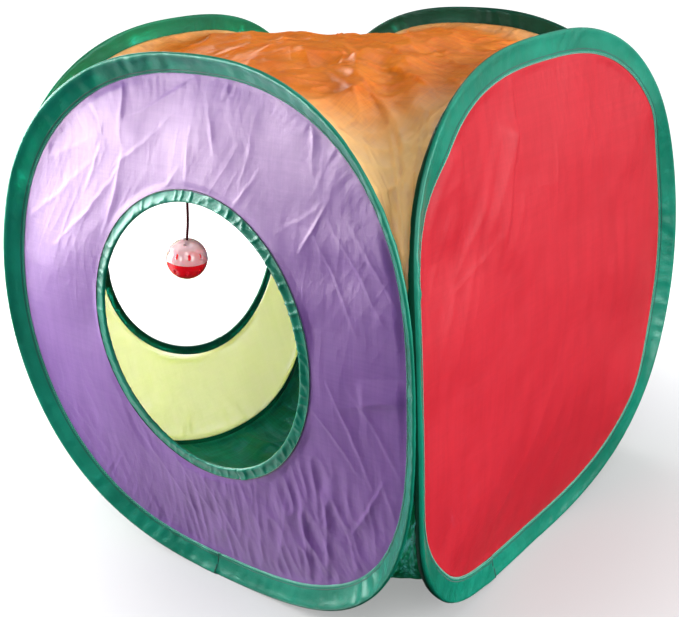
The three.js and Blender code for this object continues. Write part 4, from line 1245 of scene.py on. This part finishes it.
def join_line(name):
    """Seam across the sleeve where the binding's two ends overlap."""
    data = sleeve_frames(HOOPS[name], SLEEVE_STATIONS)
    across = SLEEVE_JOINS[name][0]
    foot = np.where(data["up"] < 0, np.abs(data["across"] - across), 1e4)
    station = int(np.argmin(foot))
    one = {key: data[key][station:station + 1] for key in ("wire", "hem_way", "inner", "arc", "up",
                                                            "across")}
    shares = np.linspace(0.02, 0.99, 24)
    half = sleeve_half(shares)
    height = half + (sleeve_relief(name, one, shares[None, :], -1)[0]
                     + join_height(name, one, shares[None, :])[0]) * np.minimum(1, half) + 0.1
    spine = (one["wire"] + one["hem_way"] * (shares * SLEEVE_REACH)[:, None]
             - one["inner"] * height[:, None])
    piece = thread_tube("join_seam_" + name, spine, 0.5, DARK_THREAD_AND_SHADOW, closed=False)
    join_part(piece, "cube", "sleeve_green")


def ring_edge_shadow(name):
    """A dark line along the outer edge of an entrance's binding, on its outer face: painted shadow
    along the edge.
    """
    count = 480
    angle = np.linspace(0, 2 * math.pi, count, endpoint=False)
    share = np.full(count, 0.03)
    piece = thread_tube("binding_edge_shadow_" + name, ring_point(name, angle, share, 0.75), 0.42,
                        DARK_THREAD_AND_SHADOW)
    join_part(piece, "cube", "sleeve_green")


for hoop_name in HOOPS:
    make_sleeve(hoop_name)
for hoop_name in HOOPS:
    make_panel(hoop_name)
    hem_stitches(hoop_name)
    join_line(hoop_name)
for hoop_name in ENTRANCES:
    make_ring(hoop_name)
    ring_edge_shadow(hoop_name)
make_net("top", "head", 90.0)
make_net("floor", "foot", -360.0)


# Floor and light: a pale studio floor that runs into a white backdrop
FLOOR_RINGS = np.r_[0.02, np.linspace(0.3, 3, 10), 9.0]
FLOOR_TURNS = 96
# The floor glows more from near the part out to where it meets the backdrop
GLOW_START, GLOW_FULL = 0.2, 0.75
GLOW_NEAR, GLOW_FAR = 0.3, 1.0


def make_floor():
    angle = np.linspace(0, 2 * math.pi, FLOOR_TURNS, endpoint=False)
    points = [(r * math.cos(a), r * math.sin(a), 0.0) for r in FLOOR_RINGS for a in angle]
    faces = ring_quads(len(FLOOR_RINGS), FLOOR_TURNS) + [list(range(FLOOR_TURNS))]
    mesh = bpy.data.meshes.new("studio_floor")
    mesh.from_pydata(points, [], faces)
    floor = bpy.data.objects.new("studio_floor", mesh)
    bpy.context.scene.collection.objects.link(floor)
    material, tree, shader = new_material("studio_floor", 0.85, Base_Color=(0.36, 0.36, 0.37, 1),
                                          Emission_Color=(1, 1, 1, 1))
    position = tree.nodes.new("ShaderNodeTexCoord").outputs["Object"]
    away = node(tree, "VectorMath", position, operation="LENGTH").outputs["Value"]
    fill(tree, shader.inputs["Emission Strength"],
         eased(tree, away, GLOW_START, GLOW_FULL, GLOW_FAR, GLOW_NEAR))
    mesh.materials.append(material)
    turn_out(floor)
    floor.visible_glossy = floor.visible_diffuse = False


def area_light(name, location, aim, size, power):
    data = bpy.data.lights.new(name, "AREA")
    data.shape = "RECTANGLE"
    data.size, data.size_y = size
    data.energy = power
    light = bpy.data.objects.new(name, data)
    bpy.context.scene.collection.objects.link(light)
    light.location = location
    light.visible_camera = False
    light.rotation_euler = (Vector(aim) - Vector(location)).to_track_quat("-Z", "Y").to_euler()


# Lights: name, location, aim, size, power
LIGHTS = [
    ("near_left", (-0.84, -0.56, 0.38), (-0.1, -0.2, 0.29), (0.9, 0.56), 14.5),
    ("near_left_high", (-0.62, -0.5, 0.42), (-0.15, -0.2, 0.32), (0.4, 0.4), 5),
    ("right", (1.7, 0.2, 0.7), (0.2, 0, 0.25), (1.2, 1.0), 29),
    ("left_out", (-1.3, 0.4, 0.5), (-0.2, 0, 0.25), (0.9, 0.8), 15),
    ("overhead", (-0.2, 0.5, 1.7), (0, 0, 0.3), (0.7, 0.7), 5),
    ("camera_high", (1.0, -1.2, 1.6), (0, 0, 0.3), (0.6, 0.6), 10),
    ("camera_side", (1.1, -1.3, 0.9), (0, 0, 0.3), (0.6, 0.6), 5),
]
# Soft cards far off: azimuth from the front towards the right, elevation, full and outer half
# angle, brightness
CARDS = [
    (-62, -38, 8, 28, 1.8), (98, 15, 10, 30, 3.2), (165, 25, 15, 50, 0.6), (0, 90, 20, 60, 0.1),
]


def make_world():
    """White behind everything; the soft cards do the lighting."""
    world = bpy.data.worlds.new("studio")
    world.use_nodes = True
    tree = world.node_tree
    background = tree.nodes["Background"]
    background.inputs["Color"].default_value = (1, 1, 1, 1)
    way = tree.nodes.new("ShaderNodeTexCoord").outputs["Generated"]
    path = tree.nodes.new("ShaderNodeLightPath").outputs
    total = maths(tree, "MAXIMUM", path["Is Camera Ray"], path["Is Transmission Ray"])
    for row in CARDS:
        azimuth, elevation, full, outer = (math.radians(value) for value in row[:4])
        middle = (math.sin(azimuth) * math.cos(elevation), -math.cos(azimuth) * math.cos(elevation),
                  math.sin(elevation))
        near = node(tree, "VectorMath", way, middle, operation="DOT_PRODUCT").outputs["Value"]
        patch = eased(tree, near, math.cos(outer), math.cos(full), row[4])
        total = maths(tree, "ADD", patch, total)
    fill(tree, background.inputs["Strength"], total)
    bpy.context.scene.world = world


make_floor()
for light_row in LIGHTS:
    area_light(*light_row)
make_world()
